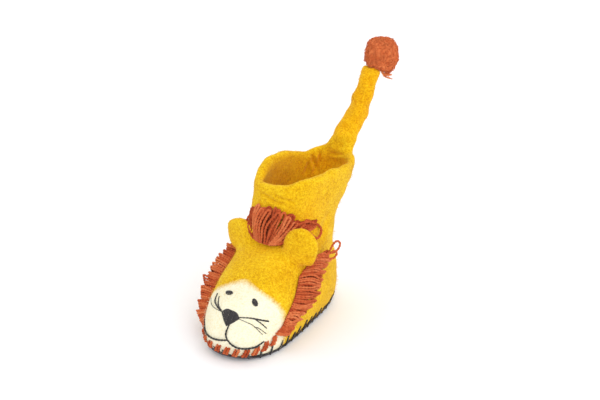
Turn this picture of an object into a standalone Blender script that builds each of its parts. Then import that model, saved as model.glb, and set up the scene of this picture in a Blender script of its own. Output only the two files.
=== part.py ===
"""Felt house slipper with a lion's face: a hollow wet-felted boot on a suede sole.

Lengths are in millimetres and become metres when a mesh is made. The toe points along -Y,
+X is the wearer's left, and the origin is on the floor under the middle of the sole.
"""

import math

import bmesh
import bpy
from mathutils import Vector
from mathutils.bvhtree import BVHTree

MM = 0.001
GAP = 0.3  # clearance between pieces that touch

# Driving dimensions
SOLE_LENGTH = 170.0
BALL_WIDTH = 74.0
INSTEP_HEIGHT = 85.0  # where the top of the head meets the front of the shaft
RIM_HEIGHT = 146.0
SOLE_THICKNESS = 3.0
INSOLE_THICKNESS = 3.0
INSOLE_EASE = 1.2  # room between the insole and the felt
FELT_WALL = 4.0
FELT_FOOT = SOLE_THICKNESS + GAP  # height of the felt's lower edge
SOLE_MARGIN = 0.7  # how far the sole stands out past the felt's lower edge
LIP_WALL = 7.5  # the felt is rolled thicker at the collar
LIP_START = 118.0  # height at which the wall starts to thicken
LIP_ROUND = 2.2  # how far the rounded lip of the collar stands above its two edges
TOE_SPRING = 2.5
SPRING_START_Y = -52.0
SPRING_REACH = 33.0  # from where the toe spring starts to the toe's tip
SPRING_FADE = 40.0  # height at which the toe spring no longer lifts the felt
ARCH_Y = 22.0
ARCH_REACH = 30.0
OUTER_ARCH_SHARE = 0.5  # the outer side pulls in less than the inner one

# Faceting of the upper: points round each section, and the heights of its rows above the felt's foot
AROUND = 48
ROW_STEPS = (0, 3.7, 8.7, 16, 24, 32, 40, 48, 55, 61, 67, 72, 77, 81, 85, 90, 97, 106, 116, 126, 135, 142.7)
ROW_HEIGHTS = [FELT_FOOT + step for step in ROW_STEPS]

# One row for each level section of the upper's outer face. level runs from 0 at the felt's foot to 1 at
# the instep and 2 at the collar. toe, heel and wide are shares of the sole's length, from its middle to
# the section's two ends and to its widest place, and width is a share of the ball width. arch is the
# pull inwards at the arch and middle the sideways place of the section's middle line, in millimetres,
# and turn is that line's drift per millimetre of length. The powers are those of the superellipse.
SECTION_COLUMNS = (
    "level", "toe", "heel", "wide", "width", "arch", "middle", "turn", "toe_power", "heel_power",
)
SECTION_ROWS = (
    (0.000, 0.494, 0.497, -0.176, 0.986, 4.0, 0.0, 0.00, 2.25, 2.8),
    (0.082, 0.512, 0.518, -0.165, 1.095, 3.5, 0.0, 0.00, 2.25, 2.8),
    (0.204, 0.515, 0.529, -0.153, 1.149, 2.5, 0.0, 0.00, 2.2, 2.8),
    (0.351, 0.494, 0.541, -0.118, 1.162, 1.5, 0.0, 0.00, 2.2, 2.6),
    (0.498, 0.453, 0.541, -0.071, 1.135, 1.0, 0.0, 0.01, 2.2, 2.35),
    (0.633, 0.391, 0.532, -0.012, 1.070, 0.5, 0.0, 0.02, 2.2, 2.15),
    (0.743, 0.318, 0.524, 0.059, 1.000, 0.0, -0.5, 0.03, 2.2, 2.0),
    (0.841, 0.229, 0.521, 0.129, 0.959, 0.0, -1.0, 0.04, 2.2, 2.0),
    (0.927, 0.135, 0.521, 0.188, 0.932, 0.0, -1.5, 0.05, 2.2, 2.1),
    (1.000, 0.065, 0.528, 0.224, 0.915, 0.0, -2.2, 0.06, 2.2, 2.1),
    (1.131, 0.029, 0.532, 0.247, 0.900, 0.0, -3.0, 0.08, 2.2, 2.15),
    (1.377, 0.021, 0.582, 0.271, 0.905, 0.0, -2.4, 0.10, 2.3, 2.3),
    (1.656, -0.006, 0.630, 0.294, 0.920, 0.0, 0.8, 0.13, 2.6, 2.4),
    (2.000, -0.035, 0.665, 0.318, 0.930, 0.0, 1.2, 0.15, 3.0, 2.6),
)

# Height of the collar's edge above or below RIM_HEIGHT, by the angle round from the toe in degrees.
RIM_WAVE_COLUMNS = ("angle", "lift")
RIM_WAVE_ROWS = (
    (0, -9.0), (45, -3.0), (90, -1.0), (125, -4.5), (150, -1.5), (165, 0.0),
    (210, 0.0), (235, 0.5), (265, 3.5), (290, 1.0), (315, -7.0),
)
RIM_WAVE_START = 105.0  # height below which the collar's waves no longer show


def rows_as_dicts(columns, rows):
    return [dict(zip(columns, row)) for row in rows]


def section_sizes():
    """The section table in millimetres."""
    sizes = rows_as_dicts(SECTION_COLUMNS, SECTION_ROWS)
    for row in sizes:
        to_instep = min(row["level"], 1.0) * (INSTEP_HEIGHT - FELT_FOOT)
        to_rim = max(row["level"] - 1.0, 0.0) * (RIM_HEIGHT - INSTEP_HEIGHT)
        row["height"] = FELT_FOOT + to_instep + to_rim
        row["toe_y"] = -row["toe"] * SOLE_LENGTH
        row["heel_y"] = row["heel"] * SOLE_LENGTH
        row["wide_y"] = row["wide"] * SOLE_LENGTH
        row["half_width"] = row["width"] * BALL_WIDTH / 2.0
    return sizes


SECTIONS = section_sizes()
SIZE_NAMES = ("toe_y", "heel_y", "wide_y", "half_width", "arch", "middle", "turn", "toe_power", "heel_power")
RIM_WAVE = rows_as_dicts(RIM_WAVE_COLUMNS, RIM_WAVE_ROWS)


def smooth(t):
    t = min(1.0, max(0.0, t))
    return t * t * (3.0 - 2.0 * t)


def hermite(p0, p1, slope0, slope1, t):
    """Cubic between two values whose slopes are already scaled to the step between them."""
    t2, t3 = t * t, t * t * t
    values = (2 * t3 - 3 * t2 + 1) * p0 + (3 * t2 - 2 * t3) * p1
    return values + (t3 - 2 * t2 + t) * slope0 + (t3 - t2) * slope1


def along(rows, key, name, at):
    """A column's value between the rows of a table, on a smooth curve through them."""
    last = len(rows) - 1
    i = max([k for k in range(last) if rows[k][key] <= at], default=0)
    step = rows[i + 1][key] - rows[i][key]
    t = min(1.0, max(0.0, (at - rows[i][key]) / step))

    def slope(k):
        lo, hi = max(0, k - 1), min(last, k + 1)
        return (rows[hi][name] - rows[lo][name]) / (rows[hi][key] - rows[lo][key]) * step

    return hermite(rows[i][name], rows[i + 1][name], slope(i), slope(i + 1), t)


def signed_power(value, power):
    return math.copysign(abs(value) ** power, value)


def toe_lift(y, z):
    """How far the toe spring lifts a point of the sole or of the felt just above it."""
    reach = max(0.0, (SPRING_START_Y - y) / SPRING_REACH)
    return TOE_SPRING * reach * reach * (1.0 - smooth(z / SPRING_FADE))


def rim_lift(angle, height):
    """The collar's waves, which fade out down the shaft."""
    degrees = math.degrees(angle) % 360.0
    wrapped = RIM_WAVE + [{"angle": RIM_WAVE[0]["angle"] + 360.0, "lift": RIM_WAVE[0]["lift"]}]
    share = smooth((height - RIM_WAVE_START) / (RIM_HEIGHT - RIM_WAVE_START))
    return along(wrapped, "angle", "lift", degrees) * share


def section_point(angle, height):
    """A point of the upper's outer face. Angle 0 is the toe, a quarter turn is the +X side."""
    row = {name: along(SECTIONS, "height", name, height) for name in SIZE_NAMES}
    ahead, aside = math.cos(angle), math.sin(angle)
    power = row["toe_power"] if ahead > 0 else row["heel_power"]
    reach = row["wide_y"] - row["toe_y"] if ahead > 0 else row["heel_y"] - row["wide_y"]
    y = row["wide_y"] - reach * signed_power(ahead, 2.0 / power)
    x = row["half_width"] * signed_power(aside, 2.0 / power)
    pull = row["arch"] * math.exp(-(((y - ARCH_Y) / ARCH_REACH) ** 2)) * aside
    x -= pull * (OUTER_ARCH_SHARE if aside > 0 else 1.0)
    x += row["middle"] + row["turn"] * (y - row["wide_y"])
    return Vector((x, y, height + toe_lift(y, height) + rim_lift(angle, height)))


ANGLE_STEP = 0.02  # steps over which the slope of the upper's face is measured
HEIGHT_STEP = 0.4


def section_normal(angle, height):
    """Outward direction of the upper's outer face."""
    low = max(SECTIONS[0]["height"], height - HEIGHT_STEP)
    high = min(SECTIONS[-1]["height"], height + HEIGHT_STEP)
    around = section_point(angle + ANGLE_STEP, height) - section_point(angle - ANGLE_STEP, height)
    upward = section_point(angle, high) - section_point(angle, low)
    return around.cross(upward).normalized()


def on_upper(angle, height, out):
    """A point this far outside the upper's outer face, or inside it where out is negative."""
    return section_point(angle, height) + section_normal(angle, height) * out


def ring_angles(count):
    return [2.0 * math.pi * k / count for k in range(count)]


def plain_finish(name, colour, roughness=0.95):
    material = bpy.data.materials.new(name)
    material.use_nodes = True
    shader = material.node_tree.nodes["Principled BSDF"]
    shader.inputs["Base Color"].default_value = (*colour, 1.0)
    shader.inputs["Roughness"].default_value = roughness
    shader.inputs["Metallic"].default_value = 0.0
    return material


MUSTARD = plain_finish("mustard_felt", (0.72, 0.38, 0.03))
RUST = plain_finish("rust_wool", (0.46, 0.12, 0.05))
CHARCOAL = plain_finish("charcoal_wool", (0.03, 0.03, 0.035))
SUEDE = plain_finish("grey_suede", (0.20, 0.19, 0.20), 0.9)


def add_piece(name, bm, material, parent):
    """Makes a named object of a mesh in millimetres, smooth shaded, under the slipper's empty."""
    bmesh.ops.recalc_face_normals(bm, faces=bm.faces)
    bmesh.ops.scale(bm, vec=(MM, MM, MM), verts=bm.verts)
    mesh = bpy.data.meshes.new(name)
    bm.to_mesh(mesh)
    bm.free()
    mesh.shade_smooth()
    mesh.materials.append(material)
    piece = bpy.data.objects.new(name, mesh)
    piece.parent = parent
    bpy.context.scene.collection.objects.link(piece)
    return piece


def add_rings(bm, rings, closed=False):
    """Joins rings of equal counts with quads, and the last to the first where closed is set."""
    made = [[bm.verts.new(p) for p in ring] for ring in rings]
    pairs = list(zip(made, made[1:])) + ([(made[-1], made[0])] if closed else [])
    for lower, upper in pairs:
        for k in range(len(lower)):
            n = (k + 1) % len(lower)
            bm.faces.new((lower[k], lower[n], upper[n], upper[k]))
    return made


def cap(bm, ring, centre):
    """Closes a ring with a fan of triangles to its centre."""
    middle = bm.verts.new(centre)
    for k in range(len(ring)):
        bm.faces.new((ring[k], ring[(k + 1) % len(ring)], middle))


def mean(points):
    return sum(points, Vector()) / len(points)


def upper_outer_rings():
    return [[section_point(angle, height) for angle in ring_angles(AROUND)] for height in ROW_HEIGHTS]


def wall(height):
    """The felt's thickness, which grows towards the collar."""
    return FELT_WALL + (LIP_WALL - FELT_WALL) * smooth((height - LIP_START) / (RIM_HEIGHT - LIP_START))


def make_upper(parent):
    """The hollow boot: an outer and an inner face joined by a rounded lip and by the sole edge."""
    angles = ring_angles(AROUND)
    outer = upper_outer_rings()
    inner = [[on_upper(a, h, -wall(h)) for a in angles] for h in ROW_HEIGHTS]
    for inside, outside in zip(inner[0], outer[0]):
        inside.z = outside.z
    for inside, outside in zip(inner[-1], outer[-1]):
        inside.z = outside.z
    lip = [(a + b) / 2.0 + Vector((0, 0, LIP_ROUND)) for a, b in zip(outer[-1], inner[-1])]
    bm = bmesh.new()
    add_rings(bm, outer + [lip] + inner[::-1], closed=True)
    return add_piece("upper", bm, MUSTARD, parent)


PLATE_SHARES = (0.94, 0.6, 0.25)  # the rings of a plate's flat faces, as shares of its outline
PLATE_EDGE_SHARE = 0.985  # a plate's edge is rounded: it draws in to this share
PLATE_EDGE_HEIGHT = 0.5  # at this height from either face


def sole_plate(outline, bottom, top):
    """A flat plate of an outline, of rings drawn in to its middle, that follows the toe spring."""
    centre = mean(outline)

    def level(share, z):
        ring = [centre + (p - centre) * share for p in outline]
        return [Vector((p.x, p.y, z + toe_lift(p.y, 0.0))) for p in ring]

    edge = [
        level(PLATE_EDGE_SHARE, bottom + PLATE_EDGE_HEIGHT),
        level(1.0, (bottom + top) / 2.0),
        level(PLATE_EDGE_SHARE, top - PLATE_EDGE_HEIGHT),
    ]
    bm = bmesh.new()
    rings = [level(s, bottom) for s in PLATE_SHARES[::-1]] + edge + [level(s, top) for s in PLATE_SHARES]
    made = add_rings(bm, rings)
    cap(bm, made[0], Vector((centre.x, centre.y, bottom)))
    cap(bm, made[-1], Vector((centre.x, centre.y, top)))
    return bm


def felt_edge(angle, out):
    """The felt's lower edge, moved this far outwards on the level."""
    outward = section_normal(angle, FELT_FOOT)
    outward.z = 0.0
    return section_point(angle, FELT_FOOT) + outward.normalized() * out


def make_outsole(parent):
    """Suede cut to the last's outline, a little larger than the felt's own edge."""
    outline = []
    for angle in ring_angles(AROUND):
        p = felt_edge(angle, SOLE_MARGIN)
        outline.append(Vector((p.x, p.y, 0.0)))
    return add_piece("outsole", sole_plate(outline, 0.0, SOLE_THICKNESS), SUEDE, parent)


def make_insole(parent):
    """A felt footbed that lies on the sole inside the upper."""
    outline = []
    for angle in ring_angles(AROUND):
        p = felt_edge(angle, -FELT_WALL - INSOLE_EASE)
        outline.append(Vector((p.x, p.y, 0.0)))
    return add_piece("insole", sole_plate(outline, FELT_FOOT, FELT_FOOT + INSOLE_THICKNESS), MUSTARD, parent)


# The tail rises from the back of the collar, where it is as flat as the wall, and rolls into a cord.
# x, y and z place its middle, and half_width and half_depth are its section across and fore and aft.
TAIL_COLUMNS = ("step", "x", "y", "z", "half_width", "half_depth", "bow")
TAIL_ROWS = (
    (0.0, 10.0, 109.0, 148.6, 15.0, 3.4, 2.2),
    (1.0, 11.8, 111.0, 154.0, 14.2, 6.2, 1.8),
    (2.0, 14.0, 114.8, 162.0, 12.4, 8.6, 0.8),
    (3.0, 16.9, 123.0, 175.0, 10.8, 9.4, 0.0),
    (4.0, 19.6, 133.5, 191.0, 10.0, 9.2, 0.0),
    (5.0, 22.6, 140.5, 208.0, 9.8, 9.0, 0.0),
    (6.0, 25.7, 146.2, 226.0, 9.4, 8.6, 0.0),
)
TAIL = rows_as_dicts(TAIL_COLUMNS, TAIL_ROWS)
TAIL_SIDE = Vector((0.985, 0.17, 0.0))  # along the collar's edge where the tail starts
TAIL_STEPS = 18
TAIL_AROUND = 16
TAIL_LEVEL_STEPS = 2.0  # its sections turn from level to square over this much of the table
TAIL_SLOPE_STEP = 0.1  # step over which the slope of its middle line is measured


def tail_middle(step):
    return Vector([along(TAIL, "step", name, step) for name in ("x", "y", "z")])


def tail_section(step):
    """A ring round the tail, level at its foot and square to its middle line higher up."""
    last = TAIL[-1]["step"]
    ahead = tail_middle(min(last, step + TAIL_SLOPE_STEP)) - tail_middle(max(0.0, step - TAIL_SLOPE_STEP))
    ahead = Vector((0, 0, 1)).lerp(ahead.normalized(), smooth(step / TAIL_LEVEL_STEPS)).normalized()
    across = (TAIL_SIDE - ahead * TAIL_SIDE.dot(ahead)).normalized()
    back = ahead.cross(across)
    half_width = along(TAIL, "step", "half_width", step)
    half_depth = along(TAIL, "step", "half_depth", step)
    bow = along(TAIL, "step", "bow", step)
    ring = []
    for angle in ring_angles(TAIL_AROUND):
        aside = math.cos(angle)
        ring.append(
            tail_middle(step)
            + across * half_width * aside
            + back * (half_depth * math.sin(angle) - bow * aside * aside)
        )
    return ring


def make_tail(parent):
    last = TAIL[-1]["step"]
    rings = [tail_section(last * k / TAIL_STEPS) for k in range(TAIL_STEPS + 1)]
    bm = bmesh.new()
    made = add_rings(bm, rings)
    foot = tail_middle(0.0) - Vector((0.0, along(TAIL, "step", "bow", 0.0) / 2.0, 0.0))
    cap(bm, made[0], foot)
    cap(bm, made[-1], tail_middle(last))
    return add_piece("tail", bm, MUSTARD, parent)


# The wool tuft at the tail's end: a lumpy, squarish ball with locks round it and one lock that hangs down
TUFT_MIDDLE = Vector((31.5, 154.2, 238.2))
TUFT_RADII = Vector((15.9, 16.2, 15.7))
TUFT_POWER = 2.7  # 2 would be a round ball, and more is squarer as seen from the side
TUFT_LOCKS = 9
TUFT_LOCK_DEPTH = 0.06
TUFT_LOCK_SWAY = 2.0  # the locks wander round the ball this far, in radians
TUFT_LOCK_SWAYS = 3.0  # and this often from the foot to the top
TUFT_LUMP_DEPTH = 0.03
TUFT_LUMPS = 5.0  # lumps from the foot to the top
TUFT_LUMP_TURNS = 2.0  # lumps round the ball
TUFT_RINGS = 14
TUFT_AROUND = 28
TUFT_SEAT = 0.4  # how far the tuft stays above the flat end of the tail
TUFT_SEAT_RADIUS = 11.6
HANGING_LOCK = Vector((0.24, 0.42, -0.87))  # where the hanging lock points, from the tuft's middle
HANGING_LOCK_REACH = 0.42  # its length past the ball, as a share of the ball's radius
HANGING_LOCK_SPREAD = 0.32


def tuft_lump(ball, tilt, angle):
    """How far a point of the tuft stands from its middle, in radii of the ball."""
    square = (math.sin(tilt) ** TUFT_POWER + abs(math.cos(tilt)) ** TUFT_POWER) ** (-1.0 / TUFT_POWER)
    sway = TUFT_LOCK_SWAY * math.sin(TUFT_LOCK_SWAYS * tilt)
    lock = TUFT_LOCK_DEPTH * math.cos(TUFT_LOCKS * angle + sway) * math.sin(tilt)
    lump = TUFT_LUMP_DEPTH * math.sin(TUFT_LUMPS * tilt + TUFT_LUMP_TURNS * angle)
    off_axis = ball.angle(HANGING_LOCK) / HANGING_LOCK_SPREAD
    return square + lock + lump + HANGING_LOCK_REACH * math.exp(-off_axis * off_axis)


def above_tail_end(point, end, axis):
    """Lifts a point over the tail's flat end until it is just above it."""
    height = (point - end).dot(axis)
    beside = (point - end - axis * height).length - TUFT_SEAT_RADIUS
    lowest = TUFT_SEAT - max(0.0, beside)
    return point + axis * max(0.0, lowest - height)


def make_tuft(parent):
    """The ball of wool, flat where the tail's end meets it."""
    last = TAIL[-1]["step"]
    end = tail_middle(last)
    axis = (end - tail_middle(last - TAIL_SLOPE_STEP)).normalized()
    rings = []
    for i in range(1, TUFT_RINGS):
        tilt = math.pi * i / TUFT_RINGS
        ring = []
        for angle in ring_angles(TUFT_AROUND):
            level = math.sin(tilt)
            ball = Vector((level * math.cos(angle), level * math.sin(angle), -math.cos(tilt)))
            point = TUFT_MIDDLE + ball * TUFT_RADII * tuft_lump(ball, tilt, angle)
            ring.append(above_tail_end(point, end, axis))
        rings.append(ring)
    bm = bmesh.new()
    made = add_rings(bm, rings)
    cap(bm, made[0], above_tail_end(mean(rings[0]), end, axis))
    cap(bm, made[-1], TUFT_MIDDLE + Vector((0, 0, TUFT_RADII.z)))
    return add_piece("tail_tuft", bm, RUST, parent)


# Ears: felt tabs sewn on the sides of the head
EAR_COLUMNS = ("share", "half_width", "half_depth")
EAR_ROWS = (
    (0.0, 15.0, 5.6),
    (0.25, 17.2, 6.0),
    (0.5, 17.6, 5.8),
    (0.75, 15.4, 5.2),
    (0.92, 10.0, 4.0),
    (1.0, 3.5, 1.8),
)
EAR = rows_as_dicts(EAR_COLUMNS, EAR_ROWS)
EAR_STEPS = 9
EAR_AROUND = 18
EAR_TIP_CLOSING = 1.5  # the rings of an ear draw closer together towards its tip
EAR_GAP = 0.7
EAR_SINK = 12.0  # how far below the ear's foot the search for the head goes
EAR_SEARCH = 60.0  # how far above it the search starts
EAR_FOOT_SHARE = 0.5  # the ring that closes the ear's foot, as a share of the foot


def make_ear(name, foot, tip, facing, skin, parent):
    """A rounded tab from a foot on the head to its tip, whose broad face looks along facing."""
    rise = tip - foot
    up = rise.normalized()
    across = up.cross(facing).normalized()
    front = across.cross(up).normalized()

    def ring(share, size):
        wide = across * along(EAR, "share", "half_width", share) * size
        deep = front * along(EAR, "share", "half_depth", share) * size
        sides = [wide * math.cos(a) + deep * math.sin(a) for a in ring_angles(EAR_AROUND)]
        return [above_skin(foot + side + rise * share, up, skin) for side in sides]

    heights = [1.0 - (1.0 - i / EAR_STEPS) ** EAR_TIP_CLOSING for i in range(EAR_STEPS + 1)]
    rings = [ring(0.0, EAR_FOOT_SHARE)] + [ring(share, 1.0) for share in heights]
    bm = bmesh.new()
    made = add_rings(bm, rings)
    cap(bm, made[0], above_skin(foot, up, skin))
    cap(bm, made[-1], tip)
    return add_piece(name, bm, MUSTARD, parent)


def above_skin(point, up, skin):
    """Lifts a point along up until it is clear of the upper's outer face."""
    hit = skin.ray_cast(point + up * EAR_SEARCH, -up, EAR_SEARCH + EAR_SINK)[0]
    if hit is None:
        return point
    clear = hit + up * EAR_GAP
    return clear if (clear - point).dot(up) > 0 else point


def upper_skin():
    """The upper's outer face as a search tree."""
    bm = bmesh.new()
    add_rings(bm, upper_outer_rings())
    tree = BVHTree.FromBMesh(bm)
    bm.free()
    return tree


EAR_FOOT = Vector((29.5, -4.2, 73.0))
EAR_TIP = Vector((39.5, -5.7, 109.0))
EAR_FACING = Vector((0.3, -1.0, 0.2))


def mirrored(point):
    return Vector((-point.x, point.y, point.z))


def make_ears(skin, parent):
    make_ear("ear_left", EAR_FOOT, EAR_TIP, EAR_FACING, skin, parent)
    make_ear("ear_right", mirrored(EAR_FOOT), mirrored(EAR_TIP), mirrored(EAR_FACING), skin, parent)


# Yarn mane. A band of yarn lies on the upper between two edges, each given by the angle round from the
# toe in degrees and the height. Between them it stands this thick off the felt: the crown is a hank that is
# round across, and the fringes on the cheeks flare out to a blunt edge at the back. The right one sticks out
# from the head, and the left one lies back along it.
MANE_COLUMNS = ("step", "front_angle", "front_height", "back_angle", "back_height", "thickness")
LEFT_CHEEK_ROWS = (
    (0.0, 82.0, 75.0, 104.0, 74.0, 5.0),
    (1.0, 74.0, 62.0, 98.0, 56.0, 9.0),
    (2.0, 73.0, 50.0, 93.0, 42.0, 10.0),
    (3.0, 71.0, 37.0, 84.0, 31.0, 7.5),
    (4.0, 65.0, 26.0, 75.0, 21.0, 5.5),
    (5.0, 57.0, 20.0, 64.0, 15.0, 3.5),
)
RIGHT_CHEEK_ROWS = (
    (0.0, 85.0, 74.0, 92.0, 71.0, 10.0),
    (1.0, 75.0, 62.0, 86.0, 55.0, 15.0),
    (2.0, 73.0, 50.0, 84.0, 42.0, 17.0),
    (3.0, 71.0, 37.0, 80.0, 29.0, 15.0),
    (4.0, 65.0, 26.0, 73.0, 18.0, 10.0),
    (5.0, 57.0, 20.0, 64.0, 13.0, 5.0),
)
CROWN_ROWS = (
    (0.0, -44.0, 103.0, -42.0, 111.0, 1.5),
    (1.0, -21.0, 101.0, -20.0, 116.0, 1.5),
    (2.0, -7.0, 80.5, -6.0, 118.0, 8.5),
    (3.0, 5.0, 79.0, 8.0, 119.0, 11.0),
    (4.0, 19.0, 80.5, 22.0, 118.0, 9.0),
    (5.0, 35.0, 90.0, 38.0, 114.0, 1.5),
    (6.0, 62.0, 94.0, 66.0, 105.0, 2.5),
)
LEFT_CHEEK = rows_as_dicts(MANE_COLUMNS, LEFT_CHEEK_ROWS)
RIGHT_CHEEK = rows_as_dicts(MANE_COLUMNS, RIGHT_CHEEK_ROWS)
CROWN = rows_as_dicts(MANE_COLUMNS, CROWN_ROWS)
CHEEK_LOCKS = 13
CROWN_LOCKS = 14
MANE_CLEAR = 0.6  # how far the mane's back stays off the felt
LOCK_DEPTH = 0.34  # how deep the furrow between two locks is, as a share of the thickness
STEPS_A_LOCK = 4
ACROSS = 5  # points across the back of a band, and as many across its face
EDGE_SHARE = 0.25  # thickness of a band's thin edges, as a share of its thickest place
CROWN_THICKEST = 0.5  # where across the band it is thickest, from 0 at one edge to 1 at the other
CHEEK_THICKEST = 0.85


def rounded(share, thickest):
    """The thickness across a band, as a share of that at its thickest place."""
    return EDGE_SHARE + (1.0 - EDGE_SHARE) * math.sin(0.5 * math.pi * share / thickest)


def mane_ring(rows, step, side, thickest, height_share):
    """A section across the mane at a step of its table: its back on the felt, then its face."""
    row = {name: along(rows, "step", name, step) for name in MANE_COLUMNS}

    def place(share, out):
        angle = row["front_angle"] + (row["back_angle"] - row["front_angle"]) * share
        height = row["front_height"] + (row["back_height"] - row["front_height"]) * share
        return on_upper(math.radians(angle) * side, height, out)

    thickness = row["thickness"] * height_share
    shares = [k / (ACROSS - 1) for k in range(ACROSS)]
    back = [place(share, MANE_CLEAR) for share in shares]
    face = [place(share, MANE_CLEAR + thickness * rounded(share, thickest)) for share in shares]
    return back + face[::-1]


def make_mane(name, rows, locks, side, thickest, parent):
    """A band of yarn locks: ridges that run across it, each fused to the next."""
    count = locks * STEPS_A_LOCK
    rings = []
    for k in range(count + 1):
        furrow = 0.5 + 0.5 * math.cos(2.0 * math.pi * k / STEPS_A_LOCK)
        step = rows[-1]["step"] * k / count
        rings.append(mane_ring(rows, step, side, thickest, 1.0 - LOCK_DEPTH * furrow))
    bm = bmesh.new()
    made = add_rings(bm, rings)
    cap(bm, made[0], mean(rings[0]))
    cap(bm, made[-1], mean(rings[-1]))
    return add_piece(name, bm, RUST, parent)


# Nose and eyes: pads of wool on the face, placed by the angle round from the toe in degrees and the
# height. The outlines are millimetres across and up from their middle.
PAD_CLEAR = 0.45
PAD_POINTS = 20
PAD_COLUMNS = ("outline_share", "rise_share")
PAD_ROWS = ((0.5, 0.0), (1.0, 0.0), (0.9, 0.7), (0.5, 1.0))  # rings from the pad's back to its face
NOSE_ANGLE = 5.0
NOSE_HEIGHT = 41.5
NOSE_HALF_WIDTH = 8.8
NOSE_TOP = 5.0
NOSE_DROP = 7.5
NOSE_RISE = 1.8
NOSE_MIDDLE_SHARE = 0.52  # the nose's width at mid-height, before its power, as a share of the widest
NOSE_POWER = 0.8  # how quickly the nose narrows to its point
EYE_COLUMNS = ("name", "angle", "height")
EYE_ROWS = (
    ("eye_left", 30.0, 52.8),
    ("eye_right", -6.8, 56.8),
)
EYE_HALF_LENGTH = 3.8
EYE_HALF_WIDTH = 2.4
EYE_RISE = 0.9


def nose_outline():
    """A rounded triangle, point down."""
    outline = []
    for angle in ring_angles(PAD_POINTS):
        up = math.sin(angle)
        width = NOSE_HALF_WIDTH * (NOSE_MIDDLE_SHARE + (1.0 - NOSE_MIDDLE_SHARE) * up) ** NOSE_POWER
        outline.append((width * math.cos(angle), NOSE_TOP * up if up > 0 else NOSE_DROP * up))
    return outline


def eye_outline():
    return [(EYE_HALF_LENGTH * math.cos(a), EYE_HALF_WIDTH * math.sin(a)) for a in ring_angles(PAD_POINTS)]


def make_pad(name, degrees, height, outline, rise, parent):
    """A low cushion of an outline on the upper's face."""
    middle = math.radians(degrees)
    around = section_point(middle + ANGLE_STEP, height) - section_point(middle - ANGLE_STEP, height)
    upward = section_point(middle, height + HEIGHT_STEP) - section_point(middle, height - HEIGHT_STEP)
    per_angle = around.length / (2.0 * ANGLE_STEP)
    per_height = upward.length / (2.0 * HEIGHT_STEP)

    def ring(share, out):
        sides = [(x * share / per_angle, y * share / per_height) for x, y in outline]
        return [on_upper(middle + aside, height + up, out) for aside, up in sides]

    rows = rows_as_dicts(PAD_COLUMNS, PAD_ROWS)
    bm = bmesh.new()
    made = add_rings(bm, [ring(row["outline_share"], PAD_CLEAR + rise * row["rise_share"]) for row in rows])
    cap(bm, made[0], on_upper(middle, height, PAD_CLEAR))
    cap(bm, made[-1], on_upper(middle, height, PAD_CLEAR + rise))
    return add_piece(name, bm, CHARCOAL, parent)


def make_face(parent):
    make_pad("nose", NOSE_ANGLE, NOSE_HEIGHT, nose_outline(), NOSE_RISE, parent)
    for eye in rows_as_dicts(EYE_COLUMNS, EYE_ROWS):
        make_pad(eye["name"], eye["angle"], eye["height"], eye_outline(), EYE_RISE, parent)


def main():
    for old in list(bpy.data.objects):
        bpy.data.objects.remove(old)
    slipper = bpy.data.objects.new("slipper", None)
    bpy.context.scene.collection.objects.link(slipper)
    skin = upper_skin()
    make_outsole(slipper)
    make_insole(slipper)
    make_upper(slipper)
    make_tail(slipper)
    make_tuft(slipper)
    make_ears(skin, slipper)
    make_mane("mane_crown", CROWN, CROWN_LOCKS, 1.0, CROWN_THICKEST, slipper)
    make_mane("mane_left", LEFT_CHEEK, CHEEK_LOCKS, 1.0, CHEEK_THICKEST, slipper)
    make_mane("mane_right", RIGHT_CHEEK, CHEEK_LOCKS, -1.0, CHEEK_THICKEST, slipper)
    make_face(slipper)


main()
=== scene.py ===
# %% [markdown]
# # A felt slipper with a lion's face
# The real slipper is wet-felted: loose wool is soaped and rubbed until it mats into one thick boot with no
# seams. Yarn, embroidery thread and a suede sole are sewn on afterwards. This lesson dresses the packed
# solids of the slipper in the same order: felt first, then yarn, thread and sole. The first step loads
# those solids, which fix every size and place.

# %% Load the slipper's solids
import math
import random

import bmesh
import bpy
import numpy as np
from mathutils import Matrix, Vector, noise
from mathutils.bvhtree import BVHTree
from mathutils.kdtree import KDTree


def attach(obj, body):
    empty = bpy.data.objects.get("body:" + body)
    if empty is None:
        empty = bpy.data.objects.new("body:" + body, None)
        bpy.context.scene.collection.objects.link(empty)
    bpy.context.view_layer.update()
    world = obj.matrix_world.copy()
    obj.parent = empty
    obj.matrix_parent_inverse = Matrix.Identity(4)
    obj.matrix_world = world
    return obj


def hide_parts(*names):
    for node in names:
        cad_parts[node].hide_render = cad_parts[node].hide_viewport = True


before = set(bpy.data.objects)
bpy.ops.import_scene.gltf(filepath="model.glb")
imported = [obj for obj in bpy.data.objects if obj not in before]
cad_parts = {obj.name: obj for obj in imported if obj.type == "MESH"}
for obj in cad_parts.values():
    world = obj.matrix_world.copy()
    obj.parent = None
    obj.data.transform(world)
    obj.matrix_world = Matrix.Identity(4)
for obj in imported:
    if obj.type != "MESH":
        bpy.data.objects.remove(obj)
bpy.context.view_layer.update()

MM = 0.001

# %% [markdown]
# ## Camera
# The camera stands where the photographer stood: ahead of the toe, to the shoe's left and well above it,
# with a long lens. It is only turned, so that the shoe comes to the middle of the picture.

# %% Camera
CAMERA_PLACE = Vector((519.5, -800.0, 513.0)) * MM
CAMERA_AIM = Vector((6.5, 39.4, 115.9)) * MM
LENS = 66.0
SENSOR = 36.0


def in_scene(name, data):
    """A new object in the scene that shows this data."""
    made = bpy.data.objects.new(name, data)
    bpy.context.scene.collection.objects.link(made)
    return made


def aimed_from(place):
    """The turn of a camera or a light at this place that points it at the shoe."""
    return (CAMERA_AIM - place).to_track_quat("-Z", "Y").to_euler()


def make_camera():
    camera = in_scene("camera", bpy.data.cameras.new("camera"))
    camera.data.lens = LENS
    camera.data.sensor_width = SENSOR
    camera.location = CAMERA_PLACE
    camera.rotation_euler = aimed_from(CAMERA_PLACE)
    bpy.context.scene.camera = camera
    return camera


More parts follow.
